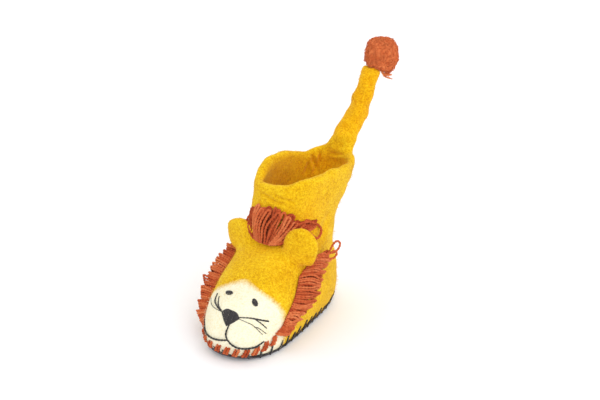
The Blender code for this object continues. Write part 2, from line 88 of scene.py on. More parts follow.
print("camera to shoe:", round((make_camera().location - CAMERA_AIM).length, 3), "m")

# %% [markdown]
# ## Writing materials as expressions
# A material is a small program that runs at every point of a surface. Wiring its nodes by hand hides the
# sums, so one class wraps a socket: Python's own operators on it add Math nodes, and its node method adds
# any other kind of node. The same class builds Geometry Nodes trees further down.


# %% A socket that can be written in expressions
class Wire:
    """A socket of a node tree. Operators on it add Math nodes, and node adds any other kind."""

    def __init__(self, tree, socket=None):
        self.tree = tree
        self.socket = socket

    def node(self, kind, settings=None, sockets=None, out=0):
        """Adds a node: its settings are made first, then its sockets are filled. Returns one output."""
        made = self.tree.nodes.new(kind)
        for name, value in (settings or {}).items():
            if name == "stops":
                self.set_stops(made.color_ramp, value)
            else:
                setattr(made, name, value)
        for key, value in (sockets or {}).items():
            if isinstance(value, Wire):
                self.tree.links.new(value.socket, made.inputs[key])
            else:
                made.inputs[key].default_value = value
        return Wire(self.tree, made.outputs[out])

    @staticmethod
    def set_stops(ramp, stops):
        for k, (place, colour) in enumerate(stops):
            stop = ramp.elements[k] if k < 2 else ramp.elements.new(place)
            stop.position = place
            stop.color = (*colour, 1.0)

    def output(self, name):
        """Another output of the node that this socket belongs to."""
        return Wire(self.tree, self.socket.node.outputs[name])

    def math(self, operation, *values):
        return self.node("ShaderNodeMath", {"operation": operation}, dict(enumerate(values)))

    def __add__(self, other):
        return self.math("ADD", self, other)

    def __sub__(self, other):
        return self.math("SUBTRACT", self, other)

    def __mul__(self, other):
        return self.math("MULTIPLY", self, other)

    def mixed(self, first, second):
        """A colour between two others, by this value from 0 to 1."""
        return self.node("ShaderNodeMix", {"data_type": "RGBA"}, {0: self, 6: first, 7: second}, 2)


print("expressions add nodes through", Wire.__name__)

# %% [markdown]
# Every finish of the slipper is a Principled shader whose colour and bump come from noise. What is the same
# all over the surface, such as roughness, is set on the shader itself. Colours are written as they are read
# off a picture, 0 to 255, and turned into the light that they stand for.


# %% A finish
def linear(red, green, blue):
    """A colour read off a picture, 0 to 255, as the light it stands for."""
    shares = [channel / 255.0 for channel in (red, green, blue)]
    return tuple(s / 12.92 if s <= 0.04045 else ((s + 0.055) / 1.055) ** 2.4 for s in shares)


class Finish:
    """A material with a Principled shader, whose plain values are set on the shader's own sockets."""

    def __init__(self, name, **plain):
        self.material = bpy.data.materials.new(name)
        self.material.use_nodes = True
        tree = self.material.node_tree
        self.shader = tree.nodes["Principled BSDF"]
        self.wire = Wire(tree)
        self.place = self.wire.node("ShaderNodeTexCoord", out="Object")
        for socket, value in plain.items():
            self.shader.inputs[socket.replace("_", " ")].default_value = value

    def noise(self, size_mm, detail, rough=0.6):
        """Soft noise whose grains are about this size."""
        sizes = {"Vector": self.place, "Scale": 1.0 / (size_mm * MM), "Detail": detail, "Roughness": rough}
        return self.wire.node("ShaderNodeTexNoise", {}, sizes)

    def attribute(self, name):
        return self.wire.node("ShaderNodeAttribute", {"attribute_name": name}, out="Fac")

    def ramp(self, value, *stops):
        return self.wire.node("ShaderNodeValToRGB", {"stops": stops}, {"Fac": value})

    def feed(self, socket, value):
        self.wire.tree.links.new(value.socket, self.shader.inputs[socket])

    def bump(self, height, depth_mm, strength):
        sizes = {"Height": height, "Distance": depth_mm * MM, "Strength": strength}
        self.feed("Normal", self.wire.node("ShaderNodeBump", {}, sizes))


print("half grey, as light:", round(linear(128, 128, 128)[0], 3))

# %% [markdown]
# ## Studio
# The photo is a catalogue picture: a white floor that runs into a white background, soft light from above
# and from the right, and just enough shadow under the sole to stand the shoe on something. A white world
# gives the even light. A wide, soft sun gives it a direction, and unlike a lamp it lights a large floor
# evenly. The floor itself glows a little, as a light table does, which keeps the shadow faint.

# %% Studio
FLOOR_SIDE = 12.0
FLOOR_GLOW = 0.08
FLOOR_GRAIN = 40.0
FLOOR_DARK = (0.9, 0.9, 0.91)
FLOOR_LIGHT = (0.93, 0.93, 0.94)
WORLD_LIGHT = 1.0
SUN_POWER = 0.8
SUN_SOFTNESS = math.radians(55.0)
SUN_PLACE = Vector((1.25, -0.4, 1.3))  # the sun shines from here to the shoe


def mesh_of(bm, name):
    """A bmesh, which is used up, as a mesh."""
    mesh = bpy.data.meshes.new(name)
    bm.to_mesh(mesh)
    bm.free()
    return mesh


def make_floor():
    finish = Finish("pale_floor", Roughness=0.7, Emission_Strength=FLOOR_GLOW)
    tone = finish.noise(FLOOR_GRAIN, detail=2.0)
    finish.feed("Base Color", finish.ramp(tone, (0.0, FLOOR_DARK), (1.0, FLOOR_LIGHT)))
    bm = bmesh.new()
    bmesh.ops.create_grid(bm, x_segments=1, y_segments=1, size=FLOOR_SIDE / 2.0)
    floor = in_scene("floor", mesh_of(bm, "floor"))
    floor.data.materials.append(finish.material)


def make_lights():
    world = bpy.data.worlds.new("white_studio")
    world.use_nodes = True
    background = world.node_tree.nodes["Background"]
    background.inputs["Color"].default_value = (1.0, 1.0, 1.0, 1.0)
    background.inputs["Strength"].default_value = WORLD_LIGHT
    bpy.context.scene.world = world
    sun = in_scene("soft_sun", bpy.data.lights.new("soft_sun", "SUN"))
    sun.data.energy = SUN_POWER
    sun.data.angle = SUN_SOFTNESS
    sun.location = SUN_PLACE
    sun.rotation_euler = aimed_from(SUN_PLACE)


make_floor()
make_lights()
bpy.context.scene.view_settings.view_transform = "Standard"
print("light: a world of", WORLD_LIGHT, "and a sun of", SUN_POWER)

# %% [markdown]
# ## Working on copies of the solids
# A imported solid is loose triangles, and it has to stay as it is. So each soft piece starts from a copy whose
# triangles are merged and paired into quads, which subdivide into a smooth skin. Modifiers shape the copy,
# and the result is kept as a plain mesh.

# %% Copies of the solids
MERGE_GAP = 0.001
PAIR_FACES = 1.2  # triangles are paired up to this angle between them
PAIR_SHAPES = 3.0


def solid_copy(node):
    """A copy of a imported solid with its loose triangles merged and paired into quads."""
    bm = bmesh.new()
    bm.from_mesh(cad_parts[node].data)
    bmesh.ops.remove_doubles(bm, verts=bm.verts, dist=MERGE_GAP * MM)
    bmesh.ops.join_triangles(
        bm, faces=bm.faces, angle_face_threshold=PAIR_FACES, angle_shape_threshold=PAIR_SHAPES
    )
    return bm


def settled(carrier):
    """The plain mesh that an object's modifiers make. The object is used up."""
    result = carrier.evaluated_get(bpy.context.evaluated_depsgraph_get())
    made = bpy.data.meshes.new_from_object(result)
    bpy.data.objects.remove(carrier)
    return made


def shaped(bm, *modifiers):
    """The mesh that modifiers make of a bmesh, which is used up. Each is a type and its settings."""
    carrier = in_scene("work", mesh_of(bm, "work"))
    for kind, settings in modifiers:
        modifier = carrier.modifiers.new(kind, kind)
        for name, value in settings.items():
            setattr(modifier, name, value)
    return settled(carrier)


def subdivision(levels):
    return "SUBSURF", {"levels": levels, "render_levels": levels}


def together(*meshes):
    """Several meshes in one bmesh."""
    bm = bmesh.new()
    for part in meshes:
        bm.from_mesh(part)
    return bm


def merged(*meshes):
    """Several meshes as one."""
    return mesh_of(together(*meshes), "merged")


print("the slipper's solids:", ", ".join(sorted(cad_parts)))

# %% [markdown]
# Shaping by hand means moving points by rules. It is quickest on whole tables of points, so a mesh is read
# into an array in millimetres and written back after the change. A search tree of the same mesh answers
# where the surface is nearest, or where a ray meets it.


# %% Points, search trees and finished pieces
def points_of(mesh):
    """The mesh's points in millimetres, and the direction that the surface faces at each."""
    points = np.empty(len(mesh.vertices) * 3)
    normals = np.empty(len(mesh.vertices) * 3)
    mesh.vertices.foreach_get("co", points)
    mesh.vertex_normals.foreach_get("vector", normals)
    return points.reshape(-1, 3) / MM, normals.reshape(-1, 3)


def set_points(mesh, points):
    mesh.vertices.foreach_set("co", (points * MM).ravel())
    mesh.update()


def paint(mesh, name, values):
    """Writes a number on every point of a mesh, for its material to read."""
    mesh.attributes.new(name, "FLOAT", "POINT").data.foreach_set("value", values)


def smooth_step(values, low, high):
    share = np.clip((values - low) / (high - low), 0.0, 1.0)
    return share * share * (3.0 - 2.0 * share)


def unit(vector):
    return np.array(vector) / np.linalg.norm(vector)


def search_tree(mesh):
    bm = together(mesh)
    tree = BVHTree.FromBMesh(bm)
    bm.free()
    return tree


def add_piece(name, mesh, finish, slot, *nodes):
    """Shows a mesh as a finished piece of the slipper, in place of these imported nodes."""
    mesh.name = name
    mesh.shade_smooth()
    if not mesh.materials:
        mesh.materials.append(finish.material)
    piece = in_scene(name, mesh)
    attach(piece, "root")
    if nodes:
        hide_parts(*nodes)
    print(name, "has", sum(len(face.vertices) - 2 for face in mesh.polygons), "triangles")


print("a soft step half way up:", float(smooth_step(np.array(0.5), 0.0, 1.0)))

# %% [markdown]
# ## One felt boot
# Upper, tail and ears are separate solids, because a maker forms them one by one, but in wet felting they
# grow together until no seam shows. A voxel remesh does the same: it takes everything that overlaps as one
# body and gives it an even skin. The solids stand a hair apart, so the foot of the tail and the roots of the
# ears are first pushed into the wall. The back of the collar is drawn up into the tail, and one ear is
# pressed lower and broader than its solid, as in the photo.

# %% Join upper, tail and ears
VOXEL = 1.3
EDGE_FOLD = 5.2  # below this height the upper keeps the sharp edge that the sole closes
ROOT_DEPTH = 3.0  # how far ears and tail are pushed into the wall
ROOT_REACH = 2.2
TAIL_ROOT_HEIGHT = 2.0
EAR_BENT = "ear_right"  # the ear that is pressed
EAR_BEND_HEIGHT = 92.0
EAR_BEND_SHARE = 0.72
EAR_SPREAD = 0.42  # how much broader its top is, away from its outer edge
EAR_OUTER_X = -55.0
EAR_SPREAD_LOW = 80.0
EAR_SPREAD_HIGH = 100.0
TAIL_X = 8.0
CLIMB = 9.0  # how far the collar climbs up the tail
CLIMB_HALF_WIDTH = 17.0
CLIMB_LOW = 128.0
CLIMB_HIGH = 148.0
CLIMB_FRONT = 82.0
CLIMB_BACK = 98.0


def climbed(points):
    """Lifts the back of the collar, so that it runs up into the tail."""
    share = smooth_step(points[:, 2], CLIMB_LOW, CLIMB_HIGH)
    share *= smooth_step(points[:, 1], CLIMB_FRONT, CLIMB_BACK)
    points[:, 2] += CLIMB * share * np.exp(-(((points[:, 0] - TAIL_X) / CLIMB_HALF_WIDTH) ** 2))
    return points


def round_upper():
    """The upper's solid, rounded, with the edge that meets the sole kept."""
    bm = solid_copy("upper")
    fold = bm.edges.layers.float.new("crease_edge")
    for edge in bm.edges:
        if all(v.co.z < EDGE_FOLD * MM for v in edge.verts):
            edge[fold] = 1.0
    mesh = shaped(bm, subdivision(2))
    points, _ = points_of(mesh)
    set_points(mesh, climbed(points))
    return mesh


def rooted_ear(node, seams):
    """An ear whose root reaches into the head. The places where it enters are added to seams."""
    bm = solid_copy(node)
    for v in bm.verts:
        spot, facing, _, distance = upper_tree.find_nearest(v.co)
        if distance < ROOT_REACH * MM:
            seams.append(Vector(spot))
            v.co = spot - facing * ROOT_DEPTH * MM
        if node == EAR_BENT:
            spread = EAR_SPREAD * smooth_step(v.co.z / MM, EAR_SPREAD_LOW, EAR_SPREAD_HIGH)
            v.co.x += spread * (v.co.x - EAR_OUTER_X * MM)
            v.co.z -= max(0.0, v.co.z - EAR_BEND_HEIGHT * MM) * (1.0 - EAR_BEND_SHARE)
    return shaped(bm, subdivision(2))


def rooted_tail(seams):
    """The tail with its foot in the collar. The places where it enters are added to seams."""
    bm = solid_copy("tail")
    foot = min(v.co.z for v in bm.verts)
    for v in bm.verts:
        if v.co.z < foot + TAIL_ROOT_HEIGHT * MM:
            seams.append(v.co.copy())
            v.co.z -= ROOT_DEPTH * MM
    return shaped(bm, subdivision(2))


def joined_boot(seams):
    """Upper, ears and tail as one even skin."""
    ears = [rooted_ear(node, seams) for node in ("ear_left", "ear_right")]
    joined = together(upper_round, *ears, rooted_tail(seams))
    remesh = ("REMESH", {"mode": "VOXEL", "voxel_size": VOXEL * MM})
    return shaped(joined, remesh, ("SMOOTH", {"factor": 0.5, "iterations": 6}))


upper_round = round_upper()
upper_tree = search_tree(upper_round)
seams = []
boot = joined_boot(seams)
print("boot:", len(boot.vertices), "points; seam places:", len(seams))

# %% [markdown]
# Felt flows into a joint in a soft hollow. The points near a seam are averaged with their neighbours many
# times, and the others are left alone, so the ears and the tail grow out of the boot and nothing else moves.

# %% Soften the joints
SEAM_REACH = 8.0
SEAM_ROUNDS = 60


def neighbours_mean(points, ends):
    """For each point, the mean of the points that share an edge with it."""
    count = len(points)
    links = np.bincount(ends.ravel(), minlength=count)[:, None]
    total = np.empty_like(points)
    for axis in range(3):
        from_first = np.bincount(ends[:, 1], points[ends[:, 0], axis], count)
        total[:, axis] = from_first + np.bincount(ends[:, 0], points[ends[:, 1], axis], count)
    return total / np.maximum(links, 1)


def nearness(points, places, reach):
    """1 at any of the places, falling to 0 past the reach."""
    tree = KDTree(len(places))
    for k, place in enumerate(places):
        tree.insert(place, k)
    tree.balance()
    distances = np.array([tree.find(point)[2] for point in points * MM]) / MM
    return np.exp(-((distances / reach) ** 2))


edge_ends = np.empty(len(boot.edges) * 2, dtype=np.int64)
boot.edges.foreach_get("vertices", edge_ends)
edge_ends = edge_ends.reshape(-1, 2)
points, _ = points_of(boot)
near_seam = nearness(points, seams, SEAM_REACH)[:, None]
for _ in range(SEAM_ROUNDS):
    points += near_seam * 0.5 * (neighbours_mean(points, edge_ends) - points)
set_points(boot, points)
print("points softened:", int((near_seam > 0.3).sum()))

# %% [markdown]
# ## Creases
# A worn felt boot is never a smooth form. Each crease here is one row: where it is, which way it runs, how
# long, wide and deep. A crease is a trough with a low ridge on either side. A push moves a whole patch: it
# puffs out the muzzle and presses in a corner of the collar.

# %% Creases and pushes
CREASE_COLUMNS = ("place", "runs", "inward", "half_length", "width", "depth")
CREASE_ROWS = (
    ((-7.5, 3.7, 128.6), (0.98, -0.05, -0.13), (0.0, 1.0, -0.2), 7.0, 1.6, 2.0),
    ((7.5, 4.7, 129.1), (0.97, 0.15, -0.1), (-0.2, 1.0, -0.2), 6.0, 1.5, 1.8),
    ((16.0, 8.0, 126.8), (0.85, 0.45, -0.25), (-0.5, 0.8, -0.1), 5.0, 1.5, 1.4),
    ((3.0, 3.2, 125.5), (0.98, 0.1, -0.1), (-0.1, 1.0, -0.2), 9.5, 1.7, 1.8),
    ((-12.0, 3.5, 121.0), (0.4, 0.1, 0.9), (0.2, 1.0, 0.0), 6.0, 2.0, 1.4),
    ((-11.6, 94.8, 135.8), (0.15, 0.12, -1.0), (-0.75, 0.65, 0.0), 9.0, 1.9, 2.8),
    ((-7.8, 98.7, 135.5), (0.15, 0.2, 0.97), (-0.65, 0.75, 0.0), 10.0, 1.9, 2.8),
    ((-15.3, 90.2, 129.5), (0.2, 0.25, 0.95), (-0.84, 0.54, 0.0), 7.0, 2.2, 1.8),
    ((12.0, 105.5, 145.2), (1.0, 0.0, 0.02), (0.0, 1.0, -0.2), 9.0, 1.8, 2.2),
    ((7.0, 108.0, 150.0), (0.9, 0.35, 0.2), (0.0, 0.9, -0.4), 6.0, 1.8, 1.5),
    ((30.0, 92.0, 112.0), (0.25, -0.35, 0.9), (-0.8, -0.6, 0.0), 16.0, 5.0, 1.2),
    ((-34.0, 52.0, 100.0), (0.1, 0.6, 0.8), (1.0, 0.0, 0.0), 15.0, 5.0, 1.4),
    ((31.0, 44.0, 92.0), (0.0, 0.75, 0.65), (-1.0, 0.0, 0.0), 15.0, 5.0, 1.2),
    ((0.0, 88.0, 74.0), (1.0, 0.0, 0.0), (0.0, -1.0, 0.2), 20.0, 4.5, 1.5),
    ((17.0, 135.0, 189.0), (0.9, 0.2, -0.3), (-0.3, 1.0, 0.2), 8.0, 3.0, 1.2),
    ((14.0, 121.0, 169.0), (0.9, 0.2, -0.2), (-0.1, 1.0, 0.2), 9.0, 3.2, 1.3),
)
RIDGE_HEIGHT = 0.45  # of the ridges beside a crease, as a share of its depth
RIDGE_PLACE = 1.9  # how far out they lie, in widths of the crease
PUSH_ROWS = (  # the place, how far the push reaches, and the push
    ((-14.0, -82.0, 28.0), 11.0, (-0.3, -1.6, 0.0)),
    ((21.0, -79.0, 26.0), 12.0, (0.6, -1.7, 0.0)),
    ((-20.0, 26.0, 141.0), 12.0, (4.8, 2.6, 0.0)),
    ((-21.0, 91.0, 148.0), 9.0, (0.0, 0.0, -2.6)),
    ((-29.0, 72.0, 149.0), 9.0, (0.0, 0.0, 1.2)),
    ((23.0, 127.0, 175.0), 14.0, (1.6, 1.0, 0.0)),
)


def crease(points, row):
    """Presses one crease into the points: a trough between two low ridges."""
    size = dict(zip(CREASE_COLUMNS, row))
    runs = unit(size["runs"])
    away = points - np.array(size["place"])
    ahead = away @ runs
    beside = np.linalg.norm(away - ahead[:, None] * runs, axis=1) / size["width"]
    fade = np.exp(-((ahead / size["half_length"]) ** 4))
    profile = np.exp(-(beside**2)) - RIDGE_HEIGHT * np.exp(-((beside - RIDGE_PLACE) ** 2))
    return points + (size["depth"] * fade * profile)[:, None] * unit(size["inward"])


points, facing = points_of(boot)
for row in CREASE_ROWS:
    points = crease(points, row)
for place, reach, push in PUSH_ROWS:
    away = np.linalg.norm(points - np.array(place), axis=1) / reach
    points += np.exp(-(away**2))[:, None] * np.array(push)
print("creases:", len(CREASE_ROWS), "pushes:", len(PUSH_ROWS))

# %% [markdown]
# Between the creases the wall is uneven too, because wool never lies equally thick. Slow noise moves every
# point a little in or out, in three sizes. The tail was rolled between the hands and is lumpier, and the
# collar's edge is plump and strays up and down.

# %% Lumps and the plump collar
LUMP_ROWS = ((30.0, 0.9), (11.0, 0.4), (4.5, 0.16))  # size and depth
TAIL_LUMP = 2.6
TAIL_LUMP_SIZE = 12.0
TAIL_LUMP_LOW = 150.0
TAIL_LUMP_HIGH = 165.0
RIM_HEIGHT = 146.0
RIM_REACH = 14.0
RIM_CORE = 2.0
RIM_PLUMP = 0.8
RIM_WAVE = 3.2  # how far the collar's edge strays up and down
RIM_WAVE_SIZE = 17.0


def lumps(points, size):
    return np.array([noise.noise(Vector(point / size)) for point in points])


for size, depth in LUMP_ROWS:
    points += facing * (depth * lumps(points, size))[:, None]
tail_share = smooth_step(points[:, 2], TAIL_LUMP_LOW, TAIL_LUMP_HIGH)
points += facing * (TAIL_LUMP * tail_share * lumps(points, TAIL_LUMP_SIZE))[:, None]
rim = smooth_step(points[:, 2], RIM_HEIGHT - RIM_REACH, RIM_HEIGHT)
rim *= 1.0 - smooth_step(points[:, 2], RIM_HEIGHT + RIM_CORE, RIM_HEIGHT + RIM_REACH)
points += facing * (RIM_PLUMP * rim)[:, None]
points[:, 2] += RIM_WAVE * rim * lumps(points, RIM_WAVE_SIZE)
set_points(boot, points)
felt_tree = search_tree(boot)
print("points of the collar's edge:", int((rim > 0.5).sum()))

# %% [markdown]
# ## The cream muzzle
# The muzzle is cream wool laid on the mustard before felting, so the two colours run into each other and no
# edge can be felt. It is painted as a number on every point of the mesh: 1 where the wool is cream. The
# muzzle's edge is drawn round an upright line through the head, by the turn from straight ahead and the
# height, and the material breaks it up into wisps.

# %% Paint the muzzle
HEAD_Y = -35.0
MUZZLE_TURN = 8.0
MUZZLE_HALF_TURN = 68.0
MUZZLE_MIDDLE = 38.0
MUZZLE_TOP = 65.0
MUZZLE_SOFTNESS = 0.17


def muzzle_mask(points, facing):
    """How cream the wool is at each point, from 0 to 1. The inside of the boot stays mustard."""
    turn = np.degrees(np.arctan2(points[:, 0], HEAD_Y - points[:, 1])) - MUZZLE_TURN
    above = np.maximum(points[:, 2] - MUZZLE_MIDDLE, 0.0) / (MUZZLE_TOP - MUZZLE_MIDDLE)
    reach = np.sqrt((turn / MUZZLE_HALF_TURN) ** 2 + above**2)
    out_of_head = facing[:, 0] * points[:, 0] + facing[:, 1] * (points[:, 1] - HEAD_Y)
    outside = (out_of_head > 0.0) & (points[:, 1] < 0.0)
    return (1.0 - smooth_step(reach, 1.0 - MUZZLE_SOFTNESS, 1.0 + MUZZLE_SOFTNESS)) * outside


points, facing = points_of(boot)
cream_share = muzzle_mask(points, facing)
paint(boot, "cream", cream_share)
print("cream points:", int((cream_share > 0.5).sum()))

# %% [markdown]
# Deep in a hollow the light has bounced from wool to wool before it comes out, so inside the boot, behind the
# ears and in the creases the mustard turns to orange. That orange is painted into the colour as shade. A
# second number on every point says how sheltered it is: the share of a few slanted rays from there that meet
# the boot again. The tail gets some of this painted shade too.

# %% Paint the sheltered places
SHELTER_RAYS = 10
SHELTER_SEED = 3
SHELTER_REACH = 70.0
SHELTER_START = 0.6  # the rays start this far off the felt
SHELTER_ROUNDS = 12
TAIL_SHELTER = 0.45  # painted shade: the tail is painted a shade deeper too
TAIL_SHELTER_LOW = 152.0
TAIL_SHELTER_HIGH = 172.0


def shelter(points, facing):
    """The share of each point's rays that the boot stops, averaged with the points near it."""
    ways = np.random.default_rng(SHELTER_SEED).normal(size=(SHELTER_RAYS, 3))
    starts = [Vector(start) for start in (points + facing * SHELTER_START) * MM]
    reach = SHELTER_REACH * MM
    stopped = np.zeros(len(points))
    for way in ways:
        rays = zip(starts, (Vector(ray) for ray in facing + unit(way)))
        stopped += [felt_tree.ray_cast(start, ray, reach)[0] is not None for start, ray in rays]
    share = np.repeat(stopped[:, None] / SHELTER_RAYS, 3, axis=1)
    for _ in range(SHELTER_ROUNDS):
        share = neighbours_mean(share, edge_ends)
    tail = TAIL_SHELTER * smooth_step(points[:, 2], TAIL_SHELTER_LOW, TAIL_SHELTER_HIGH)
    return np.clip(share[:, 0] + tail, 0.0, 1.0)


sheltered = shelter(points, facing)
paint(boot, "shelter", sheltered)
print("sheltered points:", int((sheltered > 0.5).sum()))

# %% [markdown]
# ## Felt
# Felt has no weave. Close up it is a mat of short crossing fibres, lighter where they catch the light and
# deeper between them, with slow changes where the wool was laid thicker. Three sizes of noise give that in
# colour, the two finer ones give it in bump, and a little sheen stands for the fuzz that catches the light
# at the edges.

# %% The felt's finish
FELT_DEEP = linear(206, 145, 0)
FELT_MIDDLE = linear(237, 186, 8)
FELT_BRIGHT = linear(253, 219, 42)
# painted shade: the deeper orange colours below stand for light bounced between the wool in hollows
SHELTER_DEEP = linear(222, 136, 0)
SHELTER_MIDDLE = linear(249, 170, 0)
SHELTER_BRIGHT = linear(254, 192, 10)
CREAM_DEEP = linear(247, 231, 180)
CREAM_BRIGHT = linear(254, 249, 224)
FELT_SHEEN = (1.0, 0.84, 0.42, 1.0)
FIBRE_SIZE = 1.6
FLOCK_SIZE = 3.5
DRIFT_SIZE = 24.0
FELT_BUMP = 1.3
BLACK = (0.0, 0.0, 0.0)
WHITE = (1.0, 1.0, 1.0)


def felt_finish():
    finish = Finish("mustard_felt", Roughness=0.95, Specular_IOR_Level=0.12, Sheen_Weight=0.2,
                    Sheen_Tint=FELT_SHEEN)
    fibres = finish.noise(FIBRE_SIZE, detail=5.0, rough=0.85)
    flocks = finish.noise(FLOCK_SIZE, detail=3.0, rough=0.65)
    drifts = finish.noise(DRIFT_SIZE, detail=2.0)
    tone = fibres * 0.9 + flocks * 0.16 + drifts * 0.16 - 0.11
    open_wool = finish.ramp(tone, (0.39, FELT_DEEP), (0.5, FELT_MIDDLE), (0.62, FELT_BRIGHT))
    # painted shade: the deeper orange that sheltered places are painted with
    painted_shade_wool = finish.ramp(tone, (0.39, SHELTER_DEEP), (0.5, SHELTER_MIDDLE), (0.62, SHELTER_BRIGHT))
    mustard = finish.attribute("shelter").mixed(open_wool, painted_shade_wool)
    cream = finish.ramp(tone, (0.36, CREAM_DEEP), (0.52, CREAM_BRIGHT))
    wisps = finish.attribute("cream") + (flocks + fibres) * 0.5 - 0.5
    muzzle = finish.ramp(wisps, (0.15, BLACK), (0.8, WHITE))
    finish.feed("Base Color", muzzle.mixed(mustard, cream))
    finish.bump(fibres * 0.6 + flocks * 0.6, FELT_BUMP, 0.9)
    return finish


felt = felt_finish()
add_piece("felt_boot", boot, felt, "mustard_felt", "upper", "tail", "ear_left", "ear_right")

# %% [markdown]
# ## Trees of nodes
# What repeats on the slipper, its strands, curls and loose fibres, is made by Geometry Nodes: a tree of
# nodes that works on a whole mesh at once. Every tree here has named inputs for its sizes, turns its
# instances into real faces at the end and sets the material. Its result is kept as a plain mesh. Two of the
# trees scatter small tubes over a mesh, each turned by chance, and share how they do it.

# %% Helpers for trees
SCATTER_INPUTS = (("Density", "Float"), ("Thickness", "Float"), ("Seed", "Int"), ("Finish", "Material"))


def new_tree(name, inputs):
    """A Geometry Nodes tree with named inputs. Returns it and the inputs as wires."""
    tree = bpy.data.node_groups.new(name, "GeometryNodeTree")
    tree.interface.new_socket("Geometry", in_out="INPUT", socket_type="NodeSocketGeometry")
    for label, kind in inputs:
        tree.interface.new_socket(label, in_out="INPUT", socket_type="NodeSocket" + kind)
    tree.interface.new_socket("Geometry", in_out="OUTPUT", socket_type="NodeSocketGeometry")
    start = tree.nodes.new("NodeGroupInput")
    return tree, {socket.name: Wire(tree, socket) for socket in start.outputs if socket.name}


def end_tree(shape, finish):
    """Ends a tree: instances become real faces, and the material is set."""
    real = shape.node("GeometryNodeRealizeInstances", {}, {"Geometry": shape})
    dressed = shape.node("GeometryNodeSetMaterial", {}, {"Geometry": real, "Material": finish})
    end = shape.tree.nodes.new("NodeGroupOutput")
    shape.tree.links.new(dressed.socket, end.inputs[0])
    print(shape.tree.name, "has", len(shape.tree.nodes), "nodes")


def tube(curve, sides, thickness):
    """A round tube along a curve."""
    ring = {"Resolution": sides, "Radius": thickness * 0.5}
    section = curve.node("GeometryNodeCurvePrimitiveCircle", {}, ring)
    return curve.node("GeometryNodeCurveToMesh", {}, {"Curve": curve, "Profile Curve": section})


def scattered(given):
    """Places at random on the mesh that a tree is run on."""
    spread = {"Mesh": given["Geometry"], "Density": given["Density"], "Seed": given["Seed"]}
    return given["Geometry"].node("GeometryNodeDistributePointsOnFaces", {}, spread)


def random_turn(given, low, high):
    """A turn at random for each place, about all three axes."""
    turns = {"Min": low, "Max": high, "Seed": given["Seed"]}
    return given["Geometry"].node("FunctionNodeRandomValue", {"data_type": "FLOAT_VECTOR"}, turns)


def grown(base, tree, values):
    """Runs a tree on a base mesh with its inputs set, and returns the result as a plain mesh."""
    carrier = in_scene("work", base)
    modifier = carrier.modifiers.new("grow", "NODES")
    modifier.node_group = tree
    for item in tree.interface.items_tree:
        if item.in_out == "INPUT" and item.name in values:
            modifier[item.identifier] = values[item.name]
    return settled(carrier)


print("trees are run by", grown.__name__)

# %% [markdown]
# ## Yarn
# Mane, stitches and embroidery are all thread of one kind or another, so one tree spins them all. It takes
# plain lines, turns each into a curve, twists an oval section along it, which gives the look of two plies,
# and makes it a mesh. The lines carry a shade for each strand, which the material reads.

# %% A tree that spins yarn
YARN_INPUTS = (("Thickness", "Float"), ("Flatness", "Float"), ("Turns", "Float"), ("Step", "Float"),
               ("Finish", "Material"))
YARN_SIDES = 8
YARN_TURNS = 0.16  # turns of the twist in a millimetre
TAU = 2.0 * math.pi


def yarn_tree():
    tree, given = new_tree("spun_yarn", YARN_INPUTS)
    add = given["Geometry"].node
    line = add("GeometryNodeMeshToCurve", {}, {"Mesh": given["Geometry"]})
    steps = {"Curve": line, "Length": given["Step"]}
    line = add("GeometryNodeResampleCurve", {"mode": "LENGTH"}, steps)
    length = add("GeometryNodeSplineParameter", out="Length")
    shade = add("GeometryNodeInputNamedAttribute", {"data_type": "FLOAT"}, {"Name": "shade"})
    twist = (length * given["Turns"] + shade) * TAU
    line = add("GeometryNodeSetCurveTilt", {}, {"Curve": line, "Tilt": twist})
    ring = {"Resolution": YARN_SIDES, "Radius": given["Thickness"] * 0.5}
    circle = add("GeometryNodeCurvePrimitiveCircle", {}, ring)
    flat = add("ShaderNodeCombineXYZ", {}, {"X": 1.0, "Y": given["Flatness"], "Z": 1.0})
    oval = add("GeometryNodeTransform", {}, {"Geometry": circle, "Scale": flat})
    sweep = {"Curve": line, "Profile Curve": oval, "Fill Caps": True}
    end_tree(add("GeometryNodeCurveToMesh", {}, sweep), given["Finish"])
    return tree


spun_yarn = yarn_tree()

# %% [markdown]
# The lines are worked out as a few places each. A smooth curve is laid through the places, and all the lines
# of a piece go into one mesh of edges, with a shade drawn for each strand from a fixed seed.


# %% Strands along lines
def lines_mesh(strands, seed, shade_range):
    """Open lines in millimetres as a mesh of edges, each strand with a shade of its own."""
    draw = random.Random(seed)
    places, edges, shades = [], [], []
    for strand in strands:
        first = len(places)
        places += [tuple(point * MM) for point in strand]
        edges += [(k, k + 1) for k in range(first, len(places) - 1)]
        shades += [draw.uniform(*shade_range)] * len(strand)
    mesh = bpy.data.meshes.new("lines")
    mesh.from_pydata(places, edges, [])
    paint(mesh, "shade", shades)
    return mesh


def spin(strands, finish, thickness, seed, shades=(0.0, 1.0), flatness=0.68, step=0.7):
    """Strands of yarn or thread along lines in millimetres, between a dark shade and a light one."""
    sizes = {"Thickness": thickness * MM, "Step": step * MM, "Turns": YARN_TURNS / MM}
    looks = {"Flatness": flatness, "Finish": finish.material}
    return grown(lines_mesh(strands, seed, shades), spun_yarn, {**sizes, **looks})


def through(places, count):
    """A smooth line of this many points through a few places."""
    places = np.array(places)
    padded = np.vstack([2 * places[0] - places[1], places, 2 * places[-1] - places[-2]])
    line = []
    for spot in np.linspace(0.0, len(places) - 1.0001, count):  # it ends just inside the last span
        k, t = int(spot), spot % 1.0
        a, b, c, d = padded[k:k + 4]
        line.append(0.5 * (2 * b + (c - a) * t + (2 * a - 5 * b + 4 * c - d) * t**2
                           + (3 * b - a - 3 * c + d) * t**3))
    return np.array(line)


print("a line half way:", through([(0.0, 0.0, 0.0), (1.0, 0.0, 0.0), (2.0, 0.0, 0.0)], 3)[1].round(2))

# %% [markdown]
# ## Finding the felt
# Everything sewn on has to lie on the felt. A ray shot at the boot from the front, from the side or towards
# the middle of the head finds the surface there and the way it faces, so a place can be given by the two
# numbers that a person would point to. Thread follows every lump of the finished felt. The thick yarn of the
# mane is laid on the plain upper, where no ear is in the way of the rays.

